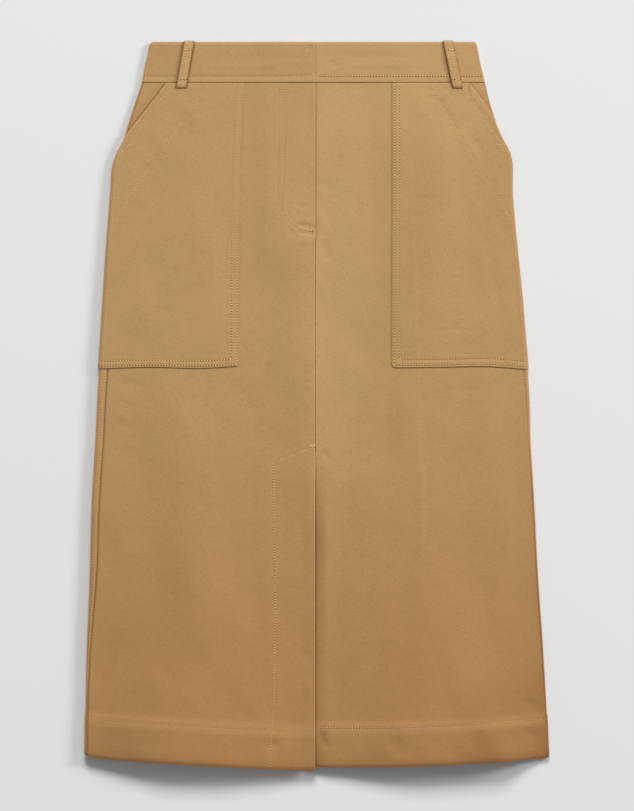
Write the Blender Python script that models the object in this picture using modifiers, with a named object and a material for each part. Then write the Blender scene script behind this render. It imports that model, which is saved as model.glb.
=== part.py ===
"""Cargo utility skirt, lying flat on its back: eight cut pieces of cotton twill, each a thin closed solid.

+Z points up from the surface, +Y towards the waist, and +X to the right of the skirt seen from above. Left
and right are those of that view. The origin is on the surface, under the middle of the skirt.

The skirt is a flattened tube. A place on it is given by its distance down from the top of the waistband, and
by where it lies across: on the top between the two side folds, round a side fold, or on the flat underside.
Sizes are in millimetres and degrees, and the meshes in metres.
"""

import math

import bmesh
import bpy
import numpy as np

MM = 0.001

# Driving sizes
LENGTH = 801.0  # top of the waistband to the lowest point of the hem
ORIGIN_DOWN = 400.0  # distance down at which the origin lies
CENTRE_X = -1.8  # the centre-front line
CLOTH = 1.1  # one layer of twill
SEAM_GAP = 0.3  # between two pieces that are sewn together
BAND_WALL = 1.8  # the waistband's doubled and interfaced cloth
BAND_DEPTH = 43.8
BAND_PROUD = 0.4  # how far the waistband stands above the panels
BAND_UNDERLAP = 32.0  # the waistband's right end carries on this far under its left end
HEM_DEPTH = 44.0  # the turned-up hem, where a panel is two layers thick
FLY_END = 216.0
VENT_TOP = 446.0  # the centre seam ends here and the vent opens
VENT_STEP = 4.0  # length over which the left front rises from one layer to the vent's two
FACING = 46.0  # width of the folded vent edge, two layers thick
UNDERLAP = 44.0  # how far the right front reaches under the left one at the fly and the vent
RISE_FULL, RISE_END = 50.0, 77.0  # the left front comes down to the right one's level between these
POCKET_LOWEST = 360.0
POCKET_GAP = 0.35  # between a pocket and the panels under it
POCKET_REACH = 122.0  # angle round the side fold, from its top, at which a pocket ends
MOUTH_STAND = 0.7  # how far a pocket's slanted mouth stands off the panel
MOUTH_WIDTH = 30.0
LOOP_WIDTH = 11.4
LOOP_WALL = 1.8
LOOP_TOP, LOOP_END = -0.9, 50.4
LOOP_ROUNDING = 0.5

# Side outline of the panels: distance down, left edge, right edge
OUTLINE = (
    (0.0, -183.4, 174.6),
    (10.0, -185.2, 176.6),
    (22.0, -188.2, 179.0),
    (44.0, -192.6, 184.6),
    (64.0, -199.1, 189.4),
    (86.0, -206.4, 196.2),
    (97.0, -209.6, 199.6),
    (108.0, -213.2, 204.0),
    (119.0, -217.4, 209.6),
    (130.0, -221.4, 212.6),
    (142.0, -224.0, 213.2),
    (163.0, -225.8, 213.7),
    (196.0, -228.5, 216.2),
    (240.0, -231.8, 220.6),
    (284.0, -234.6, 225.0),
    (328.0, -237.4, 228.6),
    (362.0, -239.6, 231.6),
    (390.0, -241.2, 233.4),
    (430.0, -243.1, 234.3),
    (504.0, -247.5, 238.7),
    (592.0, -249.8, 243.2),
    (669.0, -252.9, 248.6),
    (724.0, -254.1, 251.9),
    (801.0, -255.4, 255.6),
)

# Height of the upper surface: distance down, left fold, left lobe, centre, right lobe, right fold
LOFT = (
    (0.0, 5.2, 5.7, 5.0, 5.7, 5.2),
    (44.0, 5.4, 6.2, 5.6, 6.2, 5.4),
    (150.0, 7.0, 9.0, 8.0, 9.2, 6.6),
    (300.0, 8.5, 11.5, 9.4, 11.8, 8.0),
    (450.0, 9.5, 13.0, 10.0, 13.6, 9.0),
    (600.0, 10.5, 14.4, 10.3, 15.6, 9.6),
    (801.0, 12.0, 16.0, 10.6, 18.4, 10.6),
)
LEFT_FOLD, LEFT_LOBE, CENTRE, RIGHT_LOBE, RIGHT_FOLD = 1, 2, 3, 4, 5

# Side seams on the upper side: distance down, how far in from the left edge, and from the right edge
SIDE_SEAM = (
    (44.0, 0.9, 0.8),
    (130.0, 2.0, 1.4),
    (250.0, 6.0, 3.0),
    (362.0, 9.2, 4.1),
    (390.0, 8.7, 3.1),
    (430.0, 8.6, 2.2),
    (520.0, 8.0, 2.2),
    (600.0, 7.2, 2.2),
    (650.0, 5.3, 2.2),
    (715.0, 2.5, 2.2),
    (801.0, 2.5, 2.2),
)

# Pocket edge nearest the centre, carried on to the hem: distance down, left pocket, right pocket
POCKET_LINE = (
    (44.0, -80.5, 82.0),
    (130.0, -84.0, 82.1),
    (362.0, -86.5, 81.5),
    (801.0, -92.0, 84.0),
)

# Pocket mouths: place across the pocket (0 at its inner edge, 1 at the top of the side fold), distance down
LEFT_MOUTH = ((0.776, 44.1), (0.88, 69.5), (1.0, 98.0))
RIGHT_MOUTH = ((0.864, 44.1), (0.93, 63.0), (1.0, 82.0))
# and on round the side fold: angle from its top, distance down
LEFT_MOUTH_ROUND = ((0.0, 98.0), (35.0, 110.0), (90.0, 136.0), (122.0, 150.0))
RIGHT_MOUTH_ROUND = ((0.0, 82.0), (35.0, 96.0), (90.0, 135.0), (122.0, 150.0))

# Pocket bottoms: place across the pocket, distance down
LEFT_BOTTOM = ((0.0, 357.0), (0.3, 359.2), (0.62, 357.8), (1.0, 359.4))
RIGHT_BOTTOM = ((0.0, 358.3), (0.4, 357.6), (0.7, 356.9), (1.0, 359.7))

# Hem lines: place across, distance down
LEFT_HEM = (
    (-255.0, 785.0),
    (-241.0, 788.0),
    (-188.0, 791.4),
    (-109.0, 796.2),
    (-40.0, 800.4),
    (CENTRE_X, LENGTH),
)
RIGHT_HEM = ((CENTRE_X, 797.6), (63.0, 798.4), (140.0, 795.0), (200.0, 791.0), (248.0, 786.5))
BACK_HEM = ((-255.0, 785.0), (-150.0, 788.0), (0.0, 791.0), (150.0, 788.0), (255.0, 785.5))
HEM_SHAPE_FROM, HEM_SHAPE_TO = 480.0, 740.0  # the rows of points take up the hem's shape between these

# Largest soft ridges: start across, start down, end across, end down, bow, half width, height
RIDGES = (
    (-95.0, 95.0, -28.0, 470.0, 16.0, 34.0, 1.3),
    (140.0, 95.0, 100.0, 345.0, 8.0, 34.0, 1.0),
    (-150.0, 380.0, -120.0, 690.0, -8.0, 44.0, 1.2),
    (60.0, 400.0, 58.0, 740.0, -12.0, 44.0, 1.4),
    (176.0, 420.0, 196.0, 700.0, 10.0, 40.0, 1.2),
)
RIDGE_FADE = 0.3  # share of a ridge's length over which it rises from nothing, at either end
FOLD_FADE = 0.12  # share of a panel's width, next to the side fold, over which ridges fade out

# Belt loops: place across at the top, place across at the bottom
LEFT_LOOP = (-140.8, -149.8)
RIGHT_LOOP = (142.8, 153.6)
# Height of a loop's underside above the panels: distance down, height
LOOP_ARCH = ((-0.9, 0.9), (5.0, 1.1), (18.0, 2.6), (34.0, 2.7), (44.0, 2.5), (50.4, 2.2))

# The points of each piece lie on rows and columns. Panels and pockets share the rows, as distances down.
ROWS = (
    44.1, 58.0, 74.0, 86.0, 97.0, 108.0, 119.0, 130.0, 142.0, 163.0, 190.0, FLY_END, 240.0, 268.0, 298.0,
    328.0, 358.0, 390.0, 418.0, VENT_TOP - 2.0, VENT_TOP + 2.0, 476.0, 504.0, 534.0, 564.0, 592.0, 620.0,
    648.0, 678.0, 708.0, 734.0, LENGTH - HEM_DEPTH - 1.0, LENGTH - HEM_DEPTH + 1.0, 780.0, LENGTH,
)  # fmt: skip
BAND_ROWS = (0.0, 1.2, 15.0, 29.0, 42.6, BAND_DEPTH)
LEAST_ROW = 10.0  # a pocket's last row but one is at least this far above its bottom
# Columns next to the centre line, as distances from it towards the side seam
LEFT_NEAR_CENTRE = (SEAM_GAP / 2, 22.0, FACING - 0.5, FACING + 0.5, 52.0, 64.0)
RIGHT_NEAR_CENTRE = (-UNDERLAP, -UNDERLAP / 2, -0.6, SEAM_GAP / 2, 14.0, 32.0, 56.0)
BAND_RIGHT_CENTRE = (-BAND_UNDERLAP, -14.0, 3.8, 23.8, 53.8)
BAND_LEFT_CENTRE = (62.0, 48.0, 34.0, 16.0, SEAM_GAP / 2)
BAND_RISE_FULL, BAND_RISE_END = 38.0, 70.0
BAND_ACROSS = 7
# Columns from the pocket's inner edge to the top of the side fold, as shares of that width
LEFT_ACROSS = (0.0, 0.2, 0.4, 0.6, 0.776, 0.88, 0.94)
RIGHT_ACROSS = (0.0, 0.2, 0.4, 0.6, 0.75, 0.864, 0.93)
TO_SEAM = (0.4, 0.62, 0.78, 0.9, 0.97, 1.0)  # from there to the side seam
FROM_SEAM = (0.0, 0.025, 0.1, 0.2, 0.32, 0.44, 0.56, 0.68, 0.79, 0.9, 1.0)  # and on round the side fold
UNDERSIDE = (0.1, 0.3, 0.5, 0.7, 0.9)
POCKET_ANGLES = (15.0, 32.0, 50.0, 70.0, 90.0, 106.0, POCKET_REACH)
BAND_ANGLES = (20.0, 42.0, 66.0, 90.0, 114.0, 138.0, 160.0, 180.0)
LOOP_ROWS, LOOP_COLUMNS = 12, 4
MERGE = 0.02  # points nearer than this are one point

TWILL_COLOUR = (0.47, 0.285, 0.128, 1.0)
TWILL_ROUGHNESS = 0.9


def column(table, number):
    return np.array([row[number] for row in table])


def along(table, number, at):
    """Smooth curve through one column of a table, with the slope at each row taken from its neighbours."""
    xs, ys = column(table, 0), column(table, number)
    slopes = np.gradient(ys, xs)
    at = np.clip(at, xs[0], xs[-1])
    i = np.clip(np.searchsorted(xs, at, side="right") - 1, 0, len(xs) - 2)
    width = xs[i + 1] - xs[i]
    t = (at - xs[i]) / width
    start = (1 + 2 * t) * (1 - t) ** 2 * ys[i] + t * (1 - t) ** 2 * width * slopes[i]
    end = t**2 * (3 - 2 * t) * ys[i + 1] - t**2 * (1 - t) * width * slopes[i + 1]
    return start + end


def ease(t):
    """0 below 0, 1 above 1, and smooth between."""
    t = np.clip(t, 0.0, 1.0)
    return t * t * (3 - 2 * t)


def mix(a, b, share):
    return a + (b - a) * share


class Side:
    """One half of the lying skirt: sign is -1 on the left and +1 on the right."""

    def __init__(self, sign, tables):
        self.sign = sign
        self.left = sign < 0
        self.number = 1 if self.left else 2  # column of the tables that have one for each side
        self.across, self.hem, self.mouth, self.mouth_round, self.bottom = tables

    def edge(self, down):
        return along(OUTLINE, self.number, down)

    def fold_height(self, down):
        return along(LOFT, LEFT_FOLD if self.left else RIGHT_FOLD, down)

    def lobe_height(self, down):
        return along(LOFT, LEFT_LOBE if self.left else RIGHT_LOBE, down)

    def fold_top(self, down):
        """Where the upper surface starts to turn down: a fold is half a circle."""
        return self.edge(down) - self.sign * self.fold_height(down) / 2

    def pocket_line(self, down):
        return along(POCKET_LINE, self.number, down)

    def round_fold(self, angle, down, rise=0.0):
        """Point on the side fold, from angle 0 at its top to pi at the surface. rise lifts the fold's top."""
        height = self.fold_height(down)
        x = self.fold_top(down) + self.sign * height / 2 * np.sin(angle)
        return x, (height + rise) / 2 * (1 + np.cos(angle))

    def flat_run(self, down):
        """Distance from the outermost column across to the top of the fold."""
        return (1 - self.across[-1]) * np.abs(self.fold_top(down) - self.pocket_line(down))

    def seam_walk(self, down):
        """Distance from the outermost column across to the side seam, along the cloth."""
        inset = along(SIDE_SEAM, self.number, down)
        radius = self.fold_height(down) / 2
        on_fold = radius * np.arcsin(np.clip(1 - inset / radius, 0.0, 1.0))
        return self.flat_run(down) + np.where(inset > radius, radius - inset, on_fold)

    def bottom_walk(self, down):
        return self.flat_run(down) + math.pi * self.fold_height(down) / 2

    def walk(self, down, distance):
        """Place reached from the outermost column across, outwards and then round the fold."""
        past = (distance - self.flat_run(down)) / (self.fold_height(down) / 2)
        flat_x = self.fold_top(down) - self.sign * (self.flat_run(down) - distance)
        round_x, round_z = self.round_fold(np.clip(past, 0.0, math.pi), down)
        return np.where(past < 0, flat_x, round_x), np.where(past < 0, top_height(flat_x, down), round_z)


LEFT = Side(-1, (LEFT_ACROSS, LEFT_HEM, LEFT_MOUTH, LEFT_MOUTH_ROUND, LEFT_BOTTOM))
RIGHT = Side(+1, (RIGHT_ACROSS, RIGHT_HEM, RIGHT_MOUTH, RIGHT_MOUTH_ROUND, RIGHT_BOTTOM))


def ridges(x, down):
    """Height that the soft ridges add at a place on the upper side."""
    total = np.zeros(np.broadcast(x, down).shape)
    for x0, down0, x1, down1, bow, half_width, height in RIDGES:
        length = math.hypot(x1 - x0, down1 - down0)
        ux, ud = (x1 - x0) / length, (down1 - down0) / length
        t = ((x - x0) * ux + (down - down0) * ud) / length
        aside = (x - x0) * ud - (down - down0) * ux - bow * 4 * t * (1 - t)
        fade = ease(t / RIDGE_FADE) * ease((1 - t) / RIDGE_FADE)
        total = total + height * ease(1 - np.abs(aside) / half_width) * fade
    return total


def top_height(x, down):
    """Height of the upper surface between the tops of the two side folds."""
    halves = []
    centre = along(LOFT, CENTRE, down)
    for side in (LEFT, RIGHT):
        fold, lobe = side.fold_height(down), side.lobe_height(down)
        share = (x - side.fold_top(down)) / (CENTRE_X - side.fold_top(down))
        outer, inner = mix(fold, lobe, ease(2 * share)), mix(lobe, centre, ease(2 * share - 1))
        halves.append(np.where(share < 0.5, outer, inner) + ease(share / FOLD_FADE) * ridges(x, down))
    return np.where(x < CENTRE_X, halves[0], halves[1])


def left_rise(x, down):
    """How far the left front lies above the level of the right one, near the centre line."""
    layers = mix(CLOTH, 2 * CLOTH, ease((down - VENT_TOP) / VENT_STEP + 0.5))
    from_centre = CENTRE_X - x
    return (layers + SEAM_GAP) * ease((RISE_END - from_centre) / (RISE_END - RISE_FULL))


def at_hem(row, x, hem):
    """Distance down of a row of points, stretched near the hem so that the last row lies on the hem line."""
    shape = ease((row - HEM_SHAPE_FROM) / (HEM_SHAPE_TO - HEM_SHAPE_FROM))
    return row + (along(hem, 1, x) - LENGTH) * shape


def to_world(x, down, z):
    points = np.empty(np.broadcast(x, down, z).shape + (3,))
    points[..., 0] = x
    points[..., 1] = ORIGIN_DOWN - down
    points[..., 2] = z
    return points * MM


def stack(columns):
    """The x and z grids of a list of columns, each an x and a z for every row."""
    return [np.stack([place[axis] for place in columns], axis=1) for axis in range(2)]


def sheet(name, points, wall, keep=None, single=None, flip=False):
    """Cloth over a grid of points, with its wall on the inner side. keep(row, column) says which cells there
    are, and single which points have one layer of a two-layer wall. flip turns the faces of a grid whose
    columns run the other way."""
    rows, columns = points.shape[:2]
    mesh = bmesh.new()
    layers = mesh.verts.layers.deform.verify()
    verts = [mesh.verts.new(point) for point in points.reshape(-1, 3)]
    for i in range(rows - 1):
        for j in range(columns - 1):
            if keep is not None and not keep(i, j):
                continue
            corners = [verts[i * columns + j], verts[i * columns + j + 1]]
            corners += [verts[(i + 1) * columns + j + 1], verts[(i + 1) * columns + j]]
            mesh.faces.new(corners if flip else corners[::-1])
    if single is not None:
        for vert, one_layer in zip(verts, single.reshape(-1)):
            vert[layers][0] = 0.0 if one_layer else 1.0
    bmesh.ops.delete(mesh, geom=[vert for vert in verts if not vert.link_faces], context="VERTS")
    bmesh.ops.remove_doubles(mesh, verts=mesh.verts, dist=MERGE * MM)
    bmesh.ops.dissolve_degenerate(mesh, edges=mesh.edges, dist=MERGE * MM)
    data = bpy.data.meshes.new(name)
    mesh.to_mesh(data)
    mesh.free()
    data.shade_smooth()
    piece = bpy.data.objects.new(name, data)
    solidify = piece.modifiers.new("cloth", "SOLIDIFY")
    solidify.thickness = wall * MM
    solidify.offset = -1.0
    solidify.use_even_offset = True
    if single is not None:
        piece.vertex_groups.new(name="layers")
        solidify.vertex_group = "layers"
        solidify.thickness_vertex_group = 0.5
    return piece


def front_panel(side, name):
    """Half of the front, from the centre line to its side seam. The right one reaches under the left one."""
    row = np.array(ROWS)
    near_centre = LEFT_NEAR_CENTRE if side.left else RIGHT_NEAR_CENTRE
    hidden = sum(1 for distance in near_centre if distance < 0)
    columns = [CENTRE_X + side.sign * distance + 0 * row for distance in near_centre]
    columns += [mix(side.pocket_line(row), side.fold_top(row), across) for across in side.across]
    columns = [(x, top_height(x, row)) for x in columns]
    to_seam = side.seam_walk(row) - SEAM_GAP / 2
    columns += [side.walk(row, share * to_seam) for share in TO_SEAM]
    x, z = stack(columns)
    row = row[:, None]
    if side.left:
        z = z + left_rise(x, row)
    in_hem = np.broadcast_to(row > LENGTH - HEM_DEPTH, x.shape)
    on_facing = side.left & (row > VENT_TOP) & (x > CENTRE_X - FACING)

    def keep(i, j):
        closed_seam = FLY_END <= ROWS[i] and ROWS[i + 1] < VENT_TOP
        return j >= hidden or not closed_seam

    points = to_world(x, at_hem(row, x, side.hem), z)
    return sheet(name, points, 2 * CLOTH, keep, ~(in_hem | on_facing), flip=side.left)


def back_panel():
    """The whole back: flat on the surface, and round both side folds to the side seams on the upper side."""
    row = np.array(ROWS)
    wraps = []
    for side in (LEFT, RIGHT):
        start, end = side.seam_walk(row) + SEAM_GAP / 2, side.bottom_walk(row)
        wraps.append([side.walk(row, mix(start, end, share)) for share in FROM_SEAM])
    left_foot, right_foot = wraps[0][-1][0], wraps[1][-1][0]
    bottom = [(mix(left_foot, right_foot, share), 0 * row) for share in UNDERSIDE]
    x, z = stack(wraps[0] + bottom + wraps[1][::-1])
    row = row[:, None]
    points = to_world(x, at_hem(row, x, BACK_HEM), z)
    one_layer = np.broadcast_to(row < LENGTH - HEM_DEPTH, x.shape)
    return sheet("back_panel", points, 2 * CLOTH, single=one_layer, flip=True)


def under_pocket(side, down, kind, value):
    """The panels' own points in one column under a pocket: a share across the top, or an angle round the fold."""
    if kind == "round":
        return to_world(*np.insert(side.round_fold(math.radians(value), down), 1, down, axis=0))
    x = mix(side.pocket_line(down), side.fold_top(down), value)
    rise = left_rise(x, down) if side.left else 0.0
    return to_world(x, down, top_height(x, down) + rise)


def pocket(side, name):
    """Patch pocket on the panels' points, moved out, from its inner edge round the side fold."""
    count = sum(1 for row in ROWS if row < POCKET_LOWEST)
    skin_rows = np.array(ROWS[: count + 1])
    rows = skin_rows[skin_rows < POCKET_LOWEST - LEAST_ROW]
    columns = [("across", share) for share in side.across + (1.0,)]
    columns += [("round", angle) for angle in POCKET_ANGLES]
    skin = np.stack([under_pocket(side, skin_rows, kind, value) for kind, value in columns], axis=1)
    outward = np.cross(np.gradient(skin, axis=0), np.gradient(skin, axis=1)) * side.sign
    outward /= np.linalg.norm(outward, axis=-1, keepdims=True)
    lifted = []
    for j, (kind, value) in enumerate(columns):
        mouth = side.mouth if kind == "across" else side.mouth_round
        top = np.interp(value, column(mouth, 0), column(mouth, 1))
        bottom = along(side.bottom, 1, value if kind == "across" else 1.0)
        down = np.append(np.maximum(rows, top), bottom)
        at_mouth = kind == "round" or value >= mouth[0][0]
        stand = at_mouth * MOUTH_STAND * ease(1 - (down - top) / MOUTH_WIDTH)
        place, normal = (
            np.stack([np.interp(down, skin_rows, grid[:, j, axis]) for axis in range(3)], axis=-1)
            for grid in (skin, outward)
        )
        lifted.append(place + normal * ((CLOTH + POCKET_GAP + stand) * MM)[:, None])
    return sheet(name, np.stack(lifted, axis=1), CLOTH, flip=side.left)


def waistband():
    """One doubled strip: from the hidden end under the left front, round the back, to the end at the centre."""
    row = np.array(BAND_ROWS)
    front_right = [CENTRE_X + distance + 0 * row for distance in BAND_RIGHT_CENTRE]
    front_left = [CENTRE_X - distance + 0 * row for distance in BAND_LEFT_CENTRE]
    shares = np.linspace(0.0, 1.0, BAND_ACROSS)
    front_right += [mix(RIGHT.pocket_line(row), RIGHT.fold_top(row), share) for share in shares]
    front_left = [mix(LEFT.fold_top(row), LEFT.pocket_line(row), share) for share in shares] + front_left
    turns = np.radians(BAND_ANGLES)
    right_fold = [RIGHT.round_fold(turn, row, BAND_PROUD) for turn in turns]
    left_fold = [LEFT.round_fold(turn, row, BAND_PROUD) for turn in turns[::-1]]
    bottom = [(mix(right_fold[-1][0], left_fold[0][0], share), 0 * row) for share in UNDERSIDE]
    right_top = [(x, top_height(x, row) + BAND_PROUD) for x in front_right]
    left_top = []
    for x in front_left:
        lap = ease((BAND_RISE_END - (CENTRE_X - x)) / (BAND_RISE_END - BAND_RISE_FULL))
        left_top.append((x, top_height(x, row) + BAND_PROUD + (BAND_WALL + SEAM_GAP) * lap))
    x, z = stack(right_top + right_fold + bottom + left_fold + left_top)
    return sheet("waistband", to_world(x, row[:, None], z), BAND_WALL)


def belt_loop(ends, name):
    """Flat strap standing a little off the waistband between its two sewn ends."""
    down = np.linspace(LOOP_TOP, LOOP_END, LOOP_ROWS)[:, None]
    middle = mix(ends[0], ends[1], (down - LOOP_TOP) / (LOOP_END - LOOP_TOP))
    x = middle + np.linspace(-0.5, 0.5, LOOP_COLUMNS) * LOOP_WIDTH
    z = top_height(middle, down) + along(LOOP_ARCH, 1, down) + LOOP_WALL
    strap = sheet(name, to_world(x, down, z), LOOP_WALL)
    rounding = strap.modifiers.new("rounded edges", "BEVEL")
    rounding.width = LOOP_ROUNDING * MM
    rounding.segments = 2
    rounding.limit_method = "ANGLE"
    return strap


def twill(name):
    material = bpy.data.materials.new(name + "_twill")
    material.use_nodes = True
    shader = material.node_tree.nodes["Principled BSDF"]
    shader.inputs["Base Color"].default_value = TWILL_COLOUR
    shader.inputs["Roughness"].default_value = TWILL_ROUGHNESS
    shader.inputs["Metallic"].default_value = 0.0
    return material


def main():
    for old in list(bpy.data.objects):
        bpy.data.objects.remove(old)
    skirt = bpy.data.collections.new("cargo_utility_skirt")
    bpy.context.scene.collection.children.link(skirt)
    pieces = [
        back_panel(),
        front_panel(LEFT, "front_left_panel"),
        front_panel(RIGHT, "front_right_panel"),
        pocket(LEFT, "pocket_left"),
        pocket(RIGHT, "pocket_right"),
        waistband(),
        belt_loop(LEFT_LOOP, "belt_loop_left"),
        belt_loop(RIGHT_LOOP, "belt_loop_right"),
    ]
    for piece in pieces:
        skirt.objects.link(piece)
        piece.data.materials.append(twill(piece.name))


main()
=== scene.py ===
"""Cargo utility skirt lying flat on its back: the looks of its pieces, over the solids of the frame.

The form is that of the solids: a flattened tube, with a finer surface. A place on it is given by its
distance down from the top of the waistband, and by its distance across from the centre line, which is
negative on the left and goes on round the side folds along the cloth. "Reach" is the same distance without
its sign. Sizes are in millimetres and the meshes in metres. "angle" is in degrees and "turned" in radians.
"""

import math

import bpy
import numpy as np
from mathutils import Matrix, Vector
from mathutils.bvhtree import BVHTree


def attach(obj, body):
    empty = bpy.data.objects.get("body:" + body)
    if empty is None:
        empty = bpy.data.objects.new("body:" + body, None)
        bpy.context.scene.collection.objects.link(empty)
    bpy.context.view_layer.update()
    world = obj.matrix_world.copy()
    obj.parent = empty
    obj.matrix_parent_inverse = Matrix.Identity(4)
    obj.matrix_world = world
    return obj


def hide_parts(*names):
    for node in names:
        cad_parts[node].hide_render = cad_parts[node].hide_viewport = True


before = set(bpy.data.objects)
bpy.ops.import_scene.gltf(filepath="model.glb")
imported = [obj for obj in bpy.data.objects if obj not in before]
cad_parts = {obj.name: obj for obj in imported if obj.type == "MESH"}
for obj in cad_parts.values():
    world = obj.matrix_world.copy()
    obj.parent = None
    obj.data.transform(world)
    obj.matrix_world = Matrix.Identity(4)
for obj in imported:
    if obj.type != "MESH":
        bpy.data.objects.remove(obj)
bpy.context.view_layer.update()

MM = 0.001

# The skirt's sizes. The levels of the band, the panels' top and the loops' top differ a little from the
# solids'.
LENGTH = 801
ORIGIN_DOWN = 400  # distance down at which the origin lies
CENTRE_X = -1.8
CLOTH = 1.1  # one layer of twill
SEAM_GAP = 0.3  # between two pieces that are sewn together
BAND_WALL = 1.8
BAND_TOP = -0.8
BAND_DEPTH = 44.4
BAND_PROUD = 0.4  # how far the waistband stands above the panels
BAND_UNDERLAP = 32
PANEL_TOP = 44.7
HEM_DEPTH = 44
FLY_END = 216
VENT_TOP = 446  # the centre seam ends here and the vent opens
FACING = 46  # width of the folded vent edge, two layers thick
UNDERLAP = 44  # how far the right front reaches under the left one
RISE_FULL, RISE_END = 50, 77  # the left front comes down to the right one's level between these
POCKET_GAP = 0.35
POCKET_REACH = 122  # angle round the side fold, from its top, at which a pocket ends
MOUTH_STAND = 0.7  # how far a pocket's slanted mouth stands off the panel
MOUTH_WIDTH = 30
LOOP_WIDTH = 11.4
LOOP_WALL = 1.8
LOOP_TOP, LOOP_END = -2, 50.4

# Side outline of the panels: distance down, left edge, right edge
OUTLINE = (
    (0, -182, 174),
    (3, -184, 175.3),
    (10, -185.4, 176.8),
    (22, -188.2, 179),
    (44, -192.6, 184.6),
    (64, -199.1, 189.4),
    (86, -206.4, 196.2),
    (97, -209.6, 199.6),
    (108, -213.2, 204),
    (119, -217.4, 209.6),
    (130, -221.4, 212.6),
    (142, -224, 213.2),
    (163, -225.8, 213.7),
    (196, -228.5, 216.2),
    (240, -231.8, 220.6),
    (284, -234.6, 225),
    (328, -237.4, 228.6),
    (362, -239.6, 231.6),
    (390, -241.2, 233.4),
    (430, -243.1, 234.3),
    (504, -247.5, 238.7),
    (592, -249.8, 243.2),
    (669, -252.9, 248.6),
    (724, -254.1, 251.9),
    (801, -255.4, 255.6),
)

FULLNESS = 0.6  # the cloth's nap reaches this far past the outline

# Height of the upper surface: distance down, left fold, left lobe, centre, right lobe, right fold
LOFT = (
    (0, 5.2, 5.7, 5, 5.7, 5.2),
    (44, 5.4, 6.2, 5.6, 6.2, 5.4),
    (150, 7, 9, 8, 9.2, 6.6),
    (300, 8.5, 11.5, 9.4, 11.8, 8),
    (450, 9.5, 13, 10, 13.6, 9),
    (600, 10.5, 14.8, 10.3, 16, 9.2),
    (801, 12, 23.5, 10.6, 22.5, 4.2),
)
LEFT_FOLD, LEFT_LOBE, CENTRE, RIGHT_LOBE, RIGHT_FOLD = 1, 2, 3, 4, 5
# Share of the way from a side fold to the centre at which the cloth reaches its lobe: down, left, right
LOBE_RISE = ((0, 0.5, 0.5), (640, 0.5, 0.5), (801, 0.34, 0.2))

# Side seams on the upper side: distance down, how far in from the left edge, and from the right edge
SIDE_SEAM = (
    (44, 0.9, 0.8),
    (130, 2, 1.4),
    (250, 6, 3),
    (362, 9.2, 4.1),
    (390, 8.7, 3.1),
    (430, 8.6, 2.2),
    (520, 8, 2.2),
    (600, 7.2, 2.2),
    (650, 5.3, 2.2),
    (715, 2.5, 2.2),
    (801, 2.5, 2.2),
)

# Pocket edge nearest the centre: distance down, left pocket, right pocket
POCKET_LINE = (
    (44, -80.5, 82.8),
    (130, -84, 82.9),
    (362, -86, 82.3),
    (801, -92, 84.8),
)

# Pocket mouths: place across the pocket (0 at its inner edge, 1 at the top of the side fold), distance down
LEFT_MOUTH = ((0.776, PANEL_TOP), (0.88, 69.5), (1, 98))
RIGHT_MOUTH = ((0.85, PANEL_TOP), (0.956, 63), (1, 76))
# and on round the side fold: angle from its top, distance down
LEFT_MOUTH_ROUND = ((0, 98), (35, 110), (90, 136), (122, 150))
RIGHT_MOUTH_ROUND = ((0, 76), (35, 92), (90, 135), (122, 150))

# Pocket bottoms: place across the pocket, distance down
LEFT_BOTTOM = ((0, 356.8), (0.3, 359), (0.62, 357.6), (1, 359.2))
RIGHT_BOTTOM = ((0, 358.3), (0.4, 357.6), (0.7, 356.9), (1, 359.7))

# Hem lines: place across, distance down
LEFT_HEM = (
    (-255, 785),
    (-241, 787.5),
    (-188, 791.1),
    (-109, 795.8),
    (-40, 800),
    (CENTRE_X, LENGTH),
)
RIGHT_HEM = ((CENTRE_X, 797.8), (63, 797.2), (140, 794.4), (200, 791.3), (248, 788))
BACK_HEM = ((-255, 785), (-150, 788), (0, 791), (150, 789.5), (255, 787.8))
HEM_SHAPE_FROM, HEM_SHAPE_TO = 480, 740  # the rows of points take up the hem's shape between these

# Largest soft ridges: start across, start down, end across, end down, bow, half width, height
RIDGES = (
    (-56, 70, 0, 600, 10, 44, 2.6),
    (146, 80, 104, 360, 6, 36, 1.9),
    (-172, 320, -114, 720, 0, 48, 2.5),
    (70, 430, 44, 770, 0, 44, 2.6),
    (184, 330, 196, 700, 6, 36, 0.9),
    (-86, 600, -76, 770, 0, 26, 1.1),
)
RIDGE_FADE = 0.3  # share of a ridge's length over which it rises, at either end
FOLD_FADE = 0.12  # share of a half's width, next to the fold, over which ridges fade out

# Belt loops: place across at the top, place across at the bottom
LEFT_LOOP = (-140.6, -149.6)
RIGHT_LOOP = (144.1, 154.9)
# Arch of a loop above the waistband, before it is squeezed: distance down, height
LOOP_ARCH = ((-2, 0.9), (5, 1.1), (18, 2.6), (34, 2.7), (44, 2.5), (50.4, 2.2))

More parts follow.
